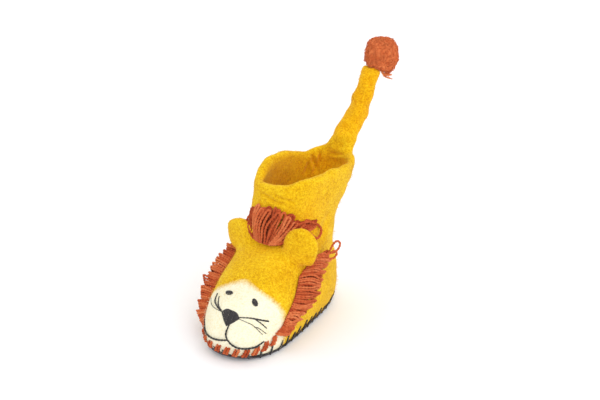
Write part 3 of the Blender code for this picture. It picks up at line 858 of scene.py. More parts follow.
# %% Places on the felt
FAR = 200.0


def touched(start, direction, out, tree):
    """Where a ray meets the felt, moved this far out of it, in millimetres."""
    spot, facing, _, _ = tree.ray_cast(Vector(start) * MM, Vector(direction))
    return np.array(spot) / MM + np.array(facing) * out


def on_head(turn, height, out=0.0):
    """A place on the head, by the turn from straight ahead in degrees, and the height."""
    way = np.array([math.sin(math.radians(turn)), -math.cos(math.radians(turn)), 0.0])
    middle = np.array([0.0, HEAD_Y, height])
    return touched(middle + way * FAR, -way, out, felt_tree)


def on_side(y, z, side, out=0.0):
    """A place on the boot's side as seen from the side, where side is 1 for the shoe's left."""
    return touched((side * FAR, y, z), (-side, 0.0, 0.0), out, upper_tree)


def on_front(x, z, out):
    """A place on the boot as seen from the front."""
    return touched((x, -FAR, z), (0.0, 1.0, 0.0), out, upper_tree)


print("toe tip:", on_head(0.0, 20.0).round(1), "side:", on_side(30.0, 40.0, 1).round(1))

# %% [markdown]
# ## The mane
# The mane is rust wool yarn. Its shade changes from strand to strand and slowly along each one, because the
# wool was dyed before it was spun, and fine fibres roughen it. Strands that lie under others are painted
# darker still, as shade. One finish serves the mane, and with paler colours the tuft of the tail.

# %% The yarn's finish
RUST_DEEP = linear(158, 56, 30)
RUST_MIDDLE = linear(208, 98, 54)
RUST_BRIGHT = linear(240, 146, 92)
YARN_SHEEN = (1.0, 0.6, 0.4, 1.0)
YARN_FIBRE_SIZE = 0.6
YARN_DRIFT_SIZE = 5.0
YARN_BUMP = 0.35


def yarn_finish(name, deep, middle, bright):
    finish = Finish(name, Roughness=0.92, Specular_IOR_Level=0.15, Sheen_Weight=0.1, Sheen_Tint=YARN_SHEEN)
    fibres = finish.noise(YARN_FIBRE_SIZE, detail=3.0, rough=0.7)
    drifts = finish.noise(YARN_DRIFT_SIZE, detail=2.0)
    tone = fibres * 0.45 + drifts * 0.3 + finish.attribute("shade") * 0.36 - 0.05
    finish.feed("Base Color", finish.ramp(tone, (0.3, deep), (0.5, middle), (0.7, bright)))
    finish.bump(fibres, YARN_BUMP, 0.8)
    return finish


rust = yarn_finish("rust_wool", RUST_DEEP, RUST_MIDDLE, RUST_BRIGHT)
print("the yarn's finish has", len(rust.material.node_tree.nodes), "nodes")

# %% [markdown]
# The yarn is looped and sewn down along one edge, so that the loops lie side by side like a fringe. Down the
# left cheek they lie back on the felt, and down the right cheek they stand out from it. Each loop is worked
# out from a row of the table below: out along the felt, round at its tip, and back beside itself. Three
# layers of loops lie over one another, the lower ones painted darker as shade under the top layer, and each
# loop strays a little, as hand-made ones do.

# %% Loops of the cheek fringes
YARN_THICKNESS = 2.5
YARN_LIE = 0.4 * YARN_THICKNESS  # how high the middle of a strand lies above the felt
FRINGE_COLUMNS = ("share", "front_y", "front_z", "back_y", "back_z", "stand", "droop")
FRINGE_ROWS = {
    "mane_left": (
        (0.0, 22.7, 70.5, 35.2, 71.0, 5.0, 0.5),
        (0.1, 13.8, 68.3, 35.8, 62.5, 6.0, 1.0),
        (0.22, -2.6, 64.5, 25.0, 57.5, 7.0, 1.0),
        (0.32, -11.3, 61.3, 14.5, 52.8, 8.0, 1.0),
        (0.45, -21.5, 51.4, 1.6, 44.5, 9.0, 1.0),
        (0.54, -27.7, 45.8, -4.5, 37.2, 8.0, 1.0),
        (0.7, -37.1, 38.0, -18.6, 32.5, 6.5, 0.8),
        (0.78, -41.8, 34.4, -28.8, 29.2, 5.5, 0.7),
        (0.88, -47.1, 28.6, -37.2, 23.8, 4.5, 0.6),
        (1.0, -56.1, 23.2, -44.1, 18.6, 3.0, 0.5),
    ),
    "mane_right": (
        (0.0, 9.0, 74.0, 18.0, 72.0, 14.0, 4.0),
        (0.2, -12.0, 62.0, -3.0, 56.0, 17.0, 7.0),
        (0.4, -27.0, 50.0, -17.0, 43.0, 18.0, 8.0),
        (0.6, -40.0, 37.0, -30.0, 30.0, 16.0, 7.0),
        (0.8, -52.0, 26.0, -44.0, 19.0, 11.0, 4.0),
        (1.0, -62.0, 20.0, -56.0, 13.0, 5.0, 1.5),
    ),
}
# painted shade: the lower layers get darker shades, as the shade under the top layer
FRINGE_LAYER_ROWS = {  # height, number of loops, darkest and lightest shade
    "mane_left": ((0.45, 17, 0.0, 0.2), (0.75, 18, 0.1, 0.4), (1.0, 23, 0.4, 0.85)),
    "mane_right": ((0.5, 24, 0.0, 0.2), (0.8, 26, 0.1, 0.4), (1.05, 26, 0.4, 0.9)),
}
FRINGE_SIDES = {"mane_left": 1, "mane_right": -1}
FRINGE_STEPS = 6
FRINGE_STRAY = 1.5  # how far a strand strays sideways
FRINGE_WAVES = 1.7  # half waves along a strand
FRINGE_RISE = 2.4  # how soon a strand reaches its height
LOOP_SHIFT = 0.14  # how far a loop is out of its place, as a share of the pitch
LOOP_HALF_GAP = 0.25  # half the gap between its two strands, as a share of the pitch
LOOP_LIFT = (0.82, 1.1)
LOOP_REACH = (0.84, 1.0)
BACK_REACH = (0.92, 1.0)
BACK_LIFT = 0.9
BACK_STRAY = 0.6
LOOP_TIP = 0.25
LOOP_POINTS = 48


def table_at(columns, rows, share):
    """A table's values between its rows, by the share in its first column. Ends are held."""
    table = np.array(rows)
    return {name: np.interp(share, table[:, 0], table[:, k]) for k, name in enumerate(columns)}


def fringe_line(name, share, height, length, stray):
    """One strand of the fringe, from the face's edge out along the felt and away from it."""
    row = table_at(FRINGE_COLUMNS, FRINGE_ROWS[name], share)
    line = []
    for k in range(FRINGE_STEPS + 1):
        t = length * k / FRINGE_STEPS
        bend = stray * math.sin(FRINGE_WAVES * math.pi * t)
        y = row["front_y"] + (row["back_y"] - row["front_y"]) * t + bend
        z = row["front_z"] + (row["back_z"] - row["front_z"]) * t + bend
        rise = row["stand"] * height * math.sin(0.5 * math.pi * min(1.0, FRINGE_RISE * t))
        droop = np.array([0.0, 0.0, row["droop"] * height * t**2])
        line.append(on_side(y, z, FRINGE_SIDES[name], YARN_LIE + rise) - droop)
    return line


def looped(out, back, tip_reach, count):
    """A loop of this many points: out along one strand, round at the tip and back along the other."""
    tip = (out[-1] + back[-1]) / 2.0 + (out[-1] - out[-2]) * tip_reach
    return through(out + [tip] + back[::-1], count)


def fringe_layers(name, seed):
    """The loops of a fringe, layer by layer, each layer with its darkest and lightest shade."""
    draw = random.Random(seed)
    layers = []
    for height, count, dark, light in FRINGE_LAYER_ROWS[name]:
        loops = []
        for k in range(count):
            share = (k + 0.5 + draw.uniform(-LOOP_SHIFT, LOOP_SHIFT)) / count
            half_gap = LOOP_HALF_GAP / count
            lift = height * draw.uniform(*LOOP_LIFT)
            reach = draw.uniform(*LOOP_REACH)
            stray = draw.uniform(-FRINGE_STRAY, FRINGE_STRAY)
            back_reach = reach * draw.uniform(*BACK_REACH)
            out = fringe_line(name, share - half_gap, lift, reach, stray)
            back = fringe_line(name, share + half_gap, lift * BACK_LIFT, back_reach, stray * BACK_STRAY)
            loops.append(looped(out, back, LOOP_TIP, LOOP_POINTS))
        layers.append((loops, (dark, light)))
    return layers


print("loops on the left cheek:", sum(row[1] for row in FRINGE_LAYER_ROWS["mane_left"]))

# %% [markdown]
# The felt would show through the gaps between the loops, so the imported solid of the fringe, made smaller and
# pressed down onto the felt, fills the space under them. It is painted dark in the same wool's finish, as
# painted shade under the loops. At the upper end of the left fringe three loops have come loose and stand out
# by themselves.

# %% Cheek fringes
CORE_SHRINK = 1.5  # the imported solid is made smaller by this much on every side,
CORE_SIZE = 0.76  # then to this share of its size,
CORE_SHARES = {"mane_left": 0.45, "mane_right": 0.75}  # and pressed down to this share of its height
# painted shade: the core is painted this dark, as the shade under the loops
CORE_PAINTED_SHADE = 0.05
LOOSE_LOOPS = (
    ((37, 24, 69), (41, 33, 70), (44, 40, 69), (45, 47, 70), (45, 51, 74), (44.5, 47, 78.5), (44, 41, 78.5),
     (43.5, 36, 75), (42, 33, 71), (38, 26, 67)),
    ((37, 20, 67), (42, 29, 66), (45, 38, 64), (46, 43, 67), (45, 40, 71), (43, 33, 70), (38, 22, 69)),
    ((36, 6, 72), (44, 14, 72), (47, 22, 69), (45, 27, 66), (42, 20, 66), (37, 10, 68)),
)
LOOSE_POINTS = 50
LOOSE_SHADES = (0.3, 0.7)
FRINGE_SEEDS = {"mane_left": 11, "mane_right": 12}


def fringe_core(name):
    """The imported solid, pressed down onto the felt, where it closes the gaps between the loops."""
    core = shaped(solid_copy(name), subdivision(1))
    core_points, core_facing = points_of(core)
    core_points -= core_facing * CORE_SHRINK
    middle = core_points.mean(axis=0)
    core_points = middle + (core_points - middle) * CORE_SIZE
    for point in core_points:
        spot = np.array(upper_tree.find_nearest(Vector(point) * MM)[0]) / MM
        point[:] = spot + (point - spot) * CORE_SHARES[name]
    set_points(core, core_points)
    # painted shade: the core is painted dark, as the shade under the loops
    paint(core, "shade", np.full(len(core_points), CORE_PAINTED_SHADE))
    return core


for name, seed in FRINGE_SEEDS.items():
    layers = fringe_layers(name, seed)
    if name == "mane_left":
        layers.append(([through(loop, LOOSE_POINTS) for loop in LOOSE_LOOPS], LOOSE_SHADES))
    yarn = [spin(loops, rust, YARN_THICKNESS, seed, shades) for loops, shades in layers]
    add_piece(name + "_yarn", merged(fringe_core(name), *yarn), rust, "rust_wool", name)

# %% [markdown]
# Between the ears the yarn is a thick hank. It is sewn to the top of the head, and its strands lean over to
# one side as they go up the front of the shaft. One long loop has slipped out and hangs behind the ear.

# %% Crown hank
CROWN_COLUMNS = ("share", "foot_x", "foot_z", "top_x", "top_z")
CROWN_ROWS = (
    (0.0, -12.0, 88.0, -30.0, 107.0),
    (0.25, -4.0, 86.0, -14.0, 118.0),
    (0.5, 4.0, 85.5, 2.0, 118.5),
    (0.75, 11.0, 86.5, 16.0, 113.0),
    (1.0, 17.0, 89.0, 28.0, 102.0),
)
# painted shade: the lower layers get darker shades, as the shade under the top layer
CROWN_LAYER_ROWS = (  # height, number of loops, darkest and lightest shade
    (0.1, 15, 0.0, 0.1),
    (0.45, 13, 0.0, 0.3),
    (0.8, 10, 0.1, 0.6),
    (1.1, 9, 0.2, 0.9),
)
CROWN_SEED = 21
CROWN_STEPS = 8
CROWN_THICKNESS = 2.9
CROWN_BULGE = 9.5
CROWN_ARCH = (0.14, 0.78)  # the part of a half wave that the bulge follows: its start and its length
CROWN_LEFT_REACH = 17.0  # the hank is flatter this far to the shoe's left, behind the ear
CROWN_RIGHT_REACH = 34.0  # and to its right
CROWN_FACING = np.array([0.0, -0.9, 0.43])
CROWN_ROUND = 26.0  # radius of the shaft that the hank lies on
CROWN_LEAN = 0.2  # the tops of the strands are this much further along than their feet
CROWN_STRAY = 2.6
CROWN_SHIFT = 0.35
CROWN_HALF_GAP = 0.022
CROWN_LIFT = (0.85, 1.1)
CROWN_DROP = (-1.5, 5.0)
CROWN_BACK_DROP = (0.0, 3.0)
CROWN_BACK_LIFT = 0.95
CROWN_BACK_STRAY = 0.5
CROWN_TIP = 0.35
CROWN_POINTS = 64
SLIPPED_LOOP = ((8.8, 103.0), (20.3, 104.8), (33.6, 97.0), (36.1, 89.0), (28.0, 85.0), (21.0, 93.0),
                (12.0, 97.0))
SLIPPED_OUT = 2.2


def crown_line(share, lift, drop, stray):
    """One strand of the hank, from the top of the head up the front of the shaft."""
    foot = table_at(CROWN_COLUMNS, CROWN_ROWS, share)
    top = table_at(CROWN_COLUMNS, CROWN_ROWS, share + CROWN_LEAN)
    line = []
    for k in range(CROWN_STEPS + 1):
        t = k / CROWN_STEPS
        x = foot["foot_x"] + (top["top_x"] - foot["foot_x"]) * t + stray * math.sin(math.pi * t)
        z = foot["foot_z"] + (top["top_z"] - drop - foot["foot_z"]) * t
        flat = math.exp(-((x / (CROWN_LEFT_REACH if x > 0.0 else CROWN_RIGHT_REACH)) ** 2))
        bulge = CROWN_BULGE * lift * flat * math.sin(math.pi * (CROWN_ARCH[0] + CROWN_ARCH[1] * t))
        outward = unit(CROWN_FACING + (x / CROWN_ROUND, 0.0, 0.0))
        line.append(on_front(x, z, YARN_LIE) + outward * bulge)
    return line


def crown_layers():
    """The loops of the hank, layer by layer, each layer with its darkest and lightest shade."""
    draw = random.Random(CROWN_SEED)
    slipped = [on_side(y, z, 1, SLIPPED_OUT) for y, z in SLIPPED_LOOP]
    layers = [([through(slipped, LOOSE_POINTS)], LOOSE_SHADES)]
    for height, count, dark, light in CROWN_LAYER_ROWS:
        loops = []
        for k in range(count):
            share = (k + 0.5 + draw.uniform(-CROWN_SHIFT, CROWN_SHIFT)) / count - 0.5 * CROWN_LEAN
            lift = height * draw.uniform(*CROWN_LIFT)
            stray = draw.uniform(-CROWN_STRAY, CROWN_STRAY)
            drop = draw.uniform(*CROWN_DROP)
            back_drop = drop + draw.uniform(*CROWN_BACK_DROP)
            up = crown_line(share - CROWN_HALF_GAP, lift, drop, stray)
            back_lift, back_stray = lift * CROWN_BACK_LIFT, stray * CROWN_BACK_STRAY
            down = crown_line(share + CROWN_HALF_GAP, back_lift, back_drop, back_stray)
            loops.append(looped(up, down, CROWN_TIP, CROWN_POINTS))
        layers.append((loops, (dark, light)))
    return layers


hank = [spin(loops, rust, CROWN_THICKNESS, CROWN_SEED, shades) for loops, shades in crown_layers()]
add_piece("mane_crown_yarn", merged(*hank), rust, "rust_wool", "mane_crown")

# %% [markdown]
# ## Chin stitches
# Under the mouth the mane becomes a row of short fat stitches, each of two strands of the same yarn side by
# side, which go into the felt at both ends.

# %% Chin stitches
CHIN_ROWS = (  # the turn from straight ahead in degrees, and the height of the middle
    (-60, 20.0), (-49, 17.0), (-38, 14.2), (-27, 12.4), (-16, 11.4), (-5, 11.0), (5.5, 10.8), (15.5, 10.4),
    (25.5, 10.4), (36, 11.6), (47, 14.2), (58, 17.4),
)
CHIN_HALF_LENGTH = 4.3
CHIN_LEAN = 2.6
CHIN_APART = 1.2
CHIN_THICKNESS = 3.0
CHIN_ROUND = 45.0  # the head's radius here
CHIN_STEPS = 6
CHIN_SINK = 1.7  # how far the ends go down, in shares of the rise
CHIN_POINTS = 20
CHIN_SEED = 31
CHIN_SHADES = (0.2, 0.7)


def chin_strands():
    """Two strands side by side for each stitch."""
    strands = []
    for turn, middle in CHIN_ROWS:
        for aside in (-CHIN_APART, CHIN_APART):
            turn_aside = math.degrees(aside / CHIN_ROUND)
            line = []
            for k in range(CHIN_STEPS + 1):
                t = 2.0 * k / CHIN_STEPS - 1.0
                rise = 0.5 * CHIN_THICKNESS * (1.0 - CHIN_SINK * t**6)
                line.append(on_head(turn + turn_aside + CHIN_LEAN * t, middle + CHIN_HALF_LENGTH * t, rise))
            strands.append(through(line, CHIN_POINTS))
    return strands


chin = spin(chin_strands(), rust, CHIN_THICKNESS, CHIN_SEED, CHIN_SHADES)
add_piece("chin_stitches", chin, rust, "rust_wool")

# %% [markdown]
# ## The tuft
# The end of the tail is a ball of the same wool, teased and rolled, so it is a tangle of small curls over a
# solid core, with one lock that has come loose and hangs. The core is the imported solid, rounded and made
# lumpy. The curls are one small arc, which a second tree scatters over the core with a fixed seed, each
# turned and sized at random.

# %% A tree that scatters curls
TUFT_DEEP = linear(214, 112, 62)
TUFT_MIDDLE = linear(240, 146, 90)
TUFT_BRIGHT = linear(250, 176, 122)
CURL_BENDS = 8
CURL_SIDES = 4
CURL_SWEEP = 1.35 * math.pi
CURL_SMALLEST = 0.55
CURL_LARGEST = 1.25


def curl_tree():
    tree, given = new_tree("wool_curls", SCATTER_INPUTS + (("Curl radius", "Float"),))
    add = given["Geometry"].node
    bend = {"Resolution": CURL_BENDS, "Radius": given["Curl radius"], "Sweep Angle": CURL_SWEEP}
    arc = add("GeometryNodeCurveArc", {"mode": "RADIUS"}, bend)
    curl = tube(arc, CURL_SIDES, given["Thickness"])
    turn = random_turn(given, (0.0, 0.0, 0.0), (TAU, TAU, TAU))
    sizes = {2: CURL_SMALLEST, 3: CURL_LARGEST, "Seed": given["Seed"]}
    size = add("FunctionNodeRandomValue", {"data_type": "FLOAT"}, sizes, out=1)
    placed = {"Points": scattered(given), "Instance": curl, "Rotation": turn, "Scale": size}
    end_tree(add("GeometryNodeInstanceOnPoints", {}, placed), given["Finish"])
    return tree


tuft_wool = yarn_finish("tuft_wool", TUFT_DEEP, TUFT_MIDDLE, TUFT_BRIGHT)
wool_curls = curl_tree()

# %% [markdown]
# The lock is spun like the yarn, from strands that all follow one short path and stray from it a little.

# %% Tuft
LOCK_PLACES = np.array([(31.0, 152.0, 227.0), (35.0, 152.5, 221.5), (38.5, 152.5, 217.5),
                        (45.0, 152.0, 217.0)])
LOCK_STRANDS = 9
LOCK_STRAY = 1.6
LOCK_REACH = (0.75, 1.05)
LOCK_THICKNESS = 1.3
LOCK_POINTS = 24
LOCK_SEED = 71
LOCK_SHADE_SEED = 72
TUFT_LUMP = 0.7
TUFT_LUMP_SIZE = 3.5
CURL_SIZES = {"Density": 5.0e5, "Curl radius": 1.25 * MM, "Thickness": 0.6 * MM, "Seed": 5}


def hanging_lock():
    """A few strands of wool that have come loose from the tuft and hang from it."""
    draw = random.Random(LOCK_SEED)
    first = LOCK_PLACES[0]
    strands = []
    for _ in range(LOCK_STRANDS):
        aside = np.array([draw.uniform(-LOCK_STRAY, LOCK_STRAY) for _ in range(3)])
        reach = draw.uniform(*LOCK_REACH)
        strands.append(through(first + (LOCK_PLACES - first) * reach + aside, LOCK_POINTS))
    return spin(strands, tuft_wool, LOCK_THICKNESS, LOCK_SHADE_SEED)


def tuft_mesh():
    """The core of the tuft, the curls on it and the lock, as one mesh."""
    core = shaped(solid_copy("tail_tuft"), subdivision(2))
    core_points, core_facing = points_of(core)
    set_points(core, core_points + core_facing * (TUFT_LUMP * lumps(core_points, TUFT_LUMP_SIZE))[:, None])
    curls = grown(core.copy(), wool_curls, {**CURL_SIZES, "Finish": tuft_wool.material})
    return merged(core, curls, hanging_lock())


add_piece("wool_tuft", tuft_mesh(), tuft_wool, "rust_wool", "tail_tuft")

# %% [markdown]
# ## The face
# Eyes, nose, mouth and whiskers are embroidered in charcoal wool. It isn't black: its fibres catch the light
# and show dark grey, so its finish runs between two greys.

# %% The thread's finish
THREAD_DEEP = linear(24, 22, 24)
THREAD_BRIGHT = linear(78, 72, 72)
THREAD_FIBRE_SIZE = 0.5
THREAD_BUMP = 0.25


def thread_finish():
    finish = Finish("charcoal_wool", Roughness=0.8, Sheen_Weight=0.2)
    fibres = finish.noise(THREAD_FIBRE_SIZE, detail=3.0, rough=0.7)
    tone = fibres * 0.8 + finish.attribute("shade") * 0.25
    finish.feed("Base Color", finish.ramp(tone, (0.4, THREAD_DEEP), (0.8, THREAD_BRIGHT)))
    finish.bump(fibres, THREAD_BUMP, 0.8)
    return finish


charcoal = thread_finish()
print("the thread's finish has", len(charcoal.material.node_tree.nodes), "nodes")

# %% [markdown]
# Mouth and whiskers are single lines of thread. Each lies on the felt and dips at both ends, until half of it
# is in the felt, as where a needle took it through. Each row has the thread's thickness and its places, as
# turns about the head in degrees and heights in millimetres.

# %% Mouth and whiskers
MOUTH_ROWS = (
    (1.8, ((6.8, 36.0), (5.2, 30.1), (5.7, 25.8), (7.3, 23.0))),
    (2.0, ((7.6, 22.8), (0.6, 21.2), (-7.1, 20.2), (-17.3, 20.4), (-28.3, 22.0), (-40.0, 26.5))),
    (2.0, ((7.0, 23.3), (10.9, 20.4), (16.1, 17.6), (23.2, 16.1), (30.3, 16.0), (37.7, 16.9), (46.0, 19.8))),
)
WHISKER_ROWS = (
    (1.3, ((10.0, 42.4), (28.8, 41.9), (41.3, 39.8), (54.4, 36.8))),
    (1.0, ((30.0, 41.8), (41.3, 39.4), (54.0, 36.2))),
    (1.2, ((36.0, 40.7), (43.7, 36.4), (50.5, 31.0))),
    (0.7, ((10.0, 43.0), (29.2, 38.0), (36.3, 34.2), (44.5, 26.6))),
    (0.8, ((35.0, 34.8), (41.0, 32.6), (49.0, 26.6))),
    (1.7, ((-3.0, 43.0), (-19.3, 45.3), (-30.9, 47.3), (-38.1, 51.8))),
    (1.3, ((-5.0, 43.3), (-19.7, 46.9), (-28.9, 51.4))),
    (0.7, ((-3.0, 44.0), (-30.4, 42.9), (-52.0, 43.5))),
)
LINE_LIFT = 0.35  # how high the middle of a thread lies above the felt, in shares of its thickness
LINE_SINK = -0.6  # the height that it heads for at its ends,
LINE_LOWEST = 0.1  # where it stops at this height, in millimetres
LINE_POINTS = 10  # between two places
LINE_STEP = 0.5
MOUTH_SEED = 41
WHISKER_SEED = 42


def stitched_line(thickness, places):
    """A line of thread on the head whose two ends go down to the felt."""
    last = len(places) - 1
    lifts = [thickness * (LINE_SINK if k in (0, last) else LINE_LIFT) for k in range(len(places))]
    spots = [(turn, height, lift) for (turn, height), lift in zip(places, lifts)]
    path = through(spots, LINE_POINTS * last)
    return np.array([on_head(turn, height, max(lift, LINE_LOWEST)) for turn, height, lift in path])


def stitched(rows, seed):
    """Lines of thread of several thicknesses as one mesh."""
    threads = []
    for thickness, places in rows:
        threads.append(spin([stitched_line(thickness, places)], charcoal, thickness, seed, step=LINE_STEP))
    return merged(*threads)


add_piece("mouth_line", stitched(MOUTH_ROWS, MOUTH_SEED), charcoal, "charcoal_wool")
add_piece("whiskers", stitched(WHISKER_ROWS, WHISKER_SEED), charcoal, "charcoal_wool")

# %% [markdown]
# Nose and eyes are satin stitch: threads laid side by side over a low pad until they close up. The threads
# run across an outline, an oval for the eyes and a triangle with its point down for the nose, and stand
# highest in the middle.

# %% Nose and eyes
SATIN_COLUMNS = ("node", "turn", "height", "half_width", "half_height", "tilt", "point")
SATIN_ROWS = (
    ("nose", 4.6, 41.3, 9.4, 6.3, -6.0, 1.0),
    ("eye_left", 37.5, 52.8, 3.0, 2.1, -50.0, 0.0),
    ("eye_right", -13.5, 56.8, 3.8, 1.3, 6.0, 0.0),
)
POINT_TOP = 0.85  # the triangle's upper edge, in half heights above its middle,
POINT_TOP_FALL = 0.75  # and the share of that by which it falls at the sides
POINT_BOTTOM = 1.15  # its point, in half heights below its middle,
POINT_SLOPE = 1.3  # and how far the lower edge rises from there to the sides
SATIN_SPACING = 0.5
SATIN_THICKNESS = 0.85
SATIN_PAD = 1.1
SATIN_EDGE = 0.98  # the outermost threads stop just short of the outline's ends
SATIN_FALL = 0.6  # how much lower the pad is at its sides
SATIN_STEPS = 7
SATIN_POINTS = 14
SATIN_SEED = 51


def satin_height(share, point):
    """Top and bottom of the stitch at a share of the width, for an oval or for a triangle, point down."""
    oval = math.sqrt(max(0.0, 1.0 - share * share))
    top = oval * (1.0 - point) + point * POINT_TOP * (1.0 - POINT_TOP_FALL * share**4)
    bottom = oval * (1.0 - point) + point * (POINT_BOTTOM - POINT_SLOPE * abs(share))
    return top, -bottom


def satin_thread(stitch, share, round_head):
    """One thread, at a share of the stitch's width from its middle."""
    top, bottom = satin_height(share * SATIN_EDGE, stitch["point"])
    tilt = math.radians(stitch["tilt"])
    across = share * stitch["half_width"]
    line = []
    for k in range(SATIN_STEPS + 1):
        t = k / SATIN_STEPS
        up = (bottom + (top - bottom) * t) * stitch["half_height"]
        aside = across * math.cos(tilt) - up * math.sin(tilt)
        height = stitch["height"] + across * math.sin(tilt) + up * math.cos(tilt)
        rise = SATIN_PAD * (1.0 - (2.0 * t - 1.0) ** 4) * (1.0 - SATIN_FALL * share * share)
        line.append(on_head(stitch["turn"] + math.degrees(aside / round_head), height, rise))
    return through(line, SATIN_POINTS)


def satin_strands(stitch):
    """Threads laid side by side across an outline on the head."""
    middle = on_head(stitch["turn"], stitch["height"])
    round_head = math.hypot(middle[0], middle[1] - HEAD_Y)
    count = int(2.0 * stitch["half_width"] / SATIN_SPACING)
    return [satin_thread(stitch, 2.0 * k / count - 1.0, round_head) for k in range(count + 1)]


for row in SATIN_ROWS:
    stitch = dict(zip(SATIN_COLUMNS, row))
    strands = satin_strands(stitch)
    threads = spin(strands, charcoal, SATIN_THICKNESS, SATIN_SEED, flatness=0.8, step=0.6)
    add_piece(stitch["node"] + "_stitch", threads, charcoal, "charcoal_wool", stitch["node"])

# %% [markdown]
# ## Sole
# The sole is grey suede, cut to the foot. Suede is the rough side of leather: its nap is fine and even, and
# walking scuffs it in broad paler patches. Inside lies a footbed of the same felt as the boot. Both are the
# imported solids, rounded.

# %% Suede sole and footbed
SUEDE_DEEP = linear(52, 48, 54)
SUEDE_BRIGHT = linear(120, 112, 120)
SUEDE_NAP_SIZE = 0.8
SUEDE_SCUFF_SIZE = 14.0
SUEDE_BUMP = 0.4


def suede_finish():
    finish = Finish("grey_suede", Roughness=0.93, Sheen_Weight=0.2)
    nap = finish.noise(SUEDE_NAP_SIZE, detail=4.0, rough=0.75)
    tone = nap * 0.55 + finish.noise(SUEDE_SCUFF_SIZE, detail=4.0) * 0.45
    finish.feed("Base Color", finish.ramp(tone, (0.35, SUEDE_DEEP), (0.7, SUEDE_BRIGHT)))
    finish.bump(nap, SUEDE_BUMP, 0.8)
    return finish


suede = suede_finish()
sole_mesh = shaped(solid_copy("outsole"), subdivision(2))
sole_tree = search_tree(sole_mesh)
add_piece("suede_sole", sole_mesh, suede, "grey_suede", "outsole")
add_piece("felt_footbed", shaped(solid_copy("insole"), subdivision(2)), felt, "mustard_felt", "insole")

# %% [markdown]
# The sole is sewn on with a blanket stitch in charcoal wool: a thread runs along the edge, and at every step
# a leg goes up into the felt. The stitches are spaced evenly along the sole's own outline, which rays from
# all round find, and each leg leans and reaches a little differently.

# %% The sole's outline
STITCH_PITCH = 10.5
OUTLINE_POINTS = 720
SOLE_EDGE = 1.5  # the height at which the outline is taken


def sole_outline():
    """The sole's edge as places along it, at an even pitch."""
    ring = []
    for k in range(OUTLINE_POINTS):
        angle = TAU * k / OUTLINE_POINTS
        way = np.array([math.sin(angle), -math.cos(angle), 0.0])
        start = Vector((way * FAR + (0.0, 0.0, SOLE_EDGE)) * MM)
        spot, _, _, _ = sole_tree.ray_cast(start, Vector(-way))
        ring.append(ring[-1] if spot is None else np.array(spot) / MM)  # a ray may slip between two faces
    closed = np.array(ring + ring[:1])
    walked = np.concatenate([[0.0], np.cumsum(np.linalg.norm(np.diff(closed, axis=0), axis=1))])
    count = int(walked[-1] / STITCH_PITCH)
    spots = np.linspace(0.0, walked[-1], count, endpoint=False)
    return np.column_stack([np.interp(spots, walked, closed[:, axis]) for axis in range(3)])


sole_edge = sole_outline()
print("blanket stitches:", len(sole_edge))

# %% [markdown]
# Each leg starts at the edge of the suede, comes up over it and ends on the felt beside it. A ray from
# outside finds the felt there, because it bulges out over the sole in some places and draws in at others.

# %% Blanket stitch
STITCH_HIGH = 12.5
STITCH_HEIGHTS = (0.75, 1.15)
STITCH_LEAN = 2.2
STITCH_LEANS = (0.0, 1.0)
STITCH_THICKNESS = 2.2
STITCH_POINTS = 16
STITCH_SEED = 61
STITCH_DRAW_SEED = 63
LEG_FOOT_OUT = 0.1
LEG_KNEE_OUT = 0.7
LEG_KNEE_UP = 1.6
LEG_MIDDLE = 6.0
LEG_MIDDLE_OUT = 0.9
LEG_END_OUT = 0.2
BESIDE = 30.0
RUN_UP = 1.4  # the running thread lies this far above the outline
RUN_POINTS = 6  # between two stitches


def felt_beside(place, way, height, out):
    """The felt above a place on the sole's edge."""
    start = np.array([place[0], place[1], height]) + way * BESIDE
    return touched(start, -way, out, felt_tree)


def blanket_strands():
    """A leg for each stitch, and the thread that runs along the edge."""
    ahead = np.roll(sole_edge, -1, axis=0) - np.roll(sole_edge, 1, axis=0)
    ahead /= np.linalg.norm(ahead, axis=1)[:, None]
    draw = random.Random(STITCH_DRAW_SEED)
    strands = []
    for place, along_edge in zip(sole_edge, ahead):
        way = np.array([along_edge[1], -along_edge[0], 0.0])
        way *= np.sign(way @ (place * (1.0, 1.0, 0.0)))
        lean = along_edge * STITCH_LEAN * draw.uniform(*STITCH_LEANS)
        high = STITCH_HIGH * draw.uniform(*STITCH_HEIGHTS)
        foot = place + way * LEG_FOOT_OUT
        knee = place + way * LEG_KNEE_OUT + (0.0, 0.0, LEG_KNEE_UP)
        middle = felt_beside(place + lean * 0.5, way, LEG_MIDDLE, LEG_MIDDLE_OUT)
        end = felt_beside(place + lean, way, high, LEG_END_OUT)
        strands.append(through([foot, knee, middle, end], STITCH_POINTS))
    run = [place + (0.0, 0.0, RUN_UP) for place in sole_edge]
    strands.append(through(run + run[:1], len(run) * RUN_POINTS))
    return strands


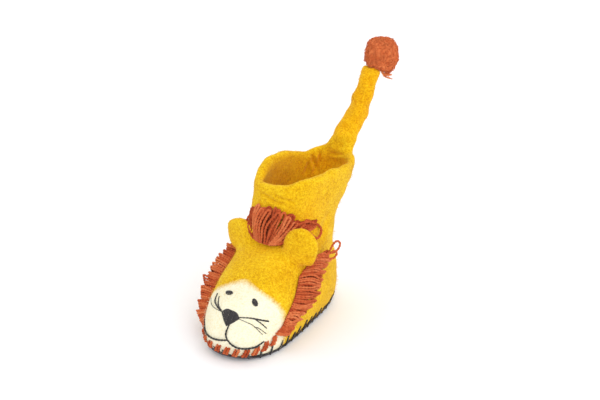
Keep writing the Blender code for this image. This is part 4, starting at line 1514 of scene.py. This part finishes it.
blanket = spin(blanket_strands(), charcoal, STITCH_THICKNESS, STITCH_SEED)
add_piece("blanket_stitch", blanket, charcoal, "charcoal_wool")

# %% [markdown]
# ## Nap
# Loose ends of wool stand out of the felt all over. They are too fine to be seen one by one, but they soften
# the boot's outline and the edge of the muzzle. A third tree scatters thin bent fibres over the boot, each
# tilted away from the surface by chance. It hands the felt's numbers for cream and shelter on to them, so
# with the felt's finish they take the colour of the felt below them.

# %% Nap
NAP_FIBRES = 10500
NAP_BENDS = 3
NAP_SIDES = 3
NAP_TILT = 1.1
NAP_BEND = 0.55  # how far up a fibre bends, and how far it then leans out, in shares of its length
NAP_TOP = 0.8
NAP_SIZES = {"Length": 2.6 * MM, "Thickness": 0.13 * MM, "Seed": 7}


def nap_tree():
    tree, given = new_tree("felt_nap", SCATTER_INPUTS + (("Length", "Float"),))
    add = given["Geometry"].node
    bend = given["Length"] * NAP_BEND
    half = add("ShaderNodeCombineXYZ", {}, {"X": 0.0, "Y": 0.0, "Z": bend})
    tip = add("ShaderNodeCombineXYZ", {}, {"X": bend, "Y": 0.0, "Z": given["Length"] * NAP_TOP})
    path = {"Resolution": NAP_BENDS, "Start": (0.0, 0.0, 0.0), "Middle": half, "End": tip}
    fibre = tube(add("GeometryNodeCurveQuadraticBezier", {}, path), NAP_SIDES, given["Thickness"])
    spots = scattered(given)
    tilt = random_turn(given, (-NAP_TILT, -NAP_TILT, 0.0), (NAP_TILT, NAP_TILT, TAU))
    lean = {"Rotation": spots.output("Rotation"), "Rotate By": tilt}
    turned = add("FunctionNodeRotateRotation", {"rotation_space": "LOCAL"}, lean)
    placed = {"Points": spots, "Instance": fibre, "Rotation": turned}
    end_tree(add("GeometryNodeInstanceOnPoints", {}, placed), given["Finish"])
    return tree


felt_area = sum(face.area for face in boot.polygons)
nap_values = {**NAP_SIZES, "Density": NAP_FIBRES / felt_area, "Finish": felt.material}
add_piece("felt_nap", grown(boot.copy(), nap_tree(), nap_values), felt, "mustard_felt")
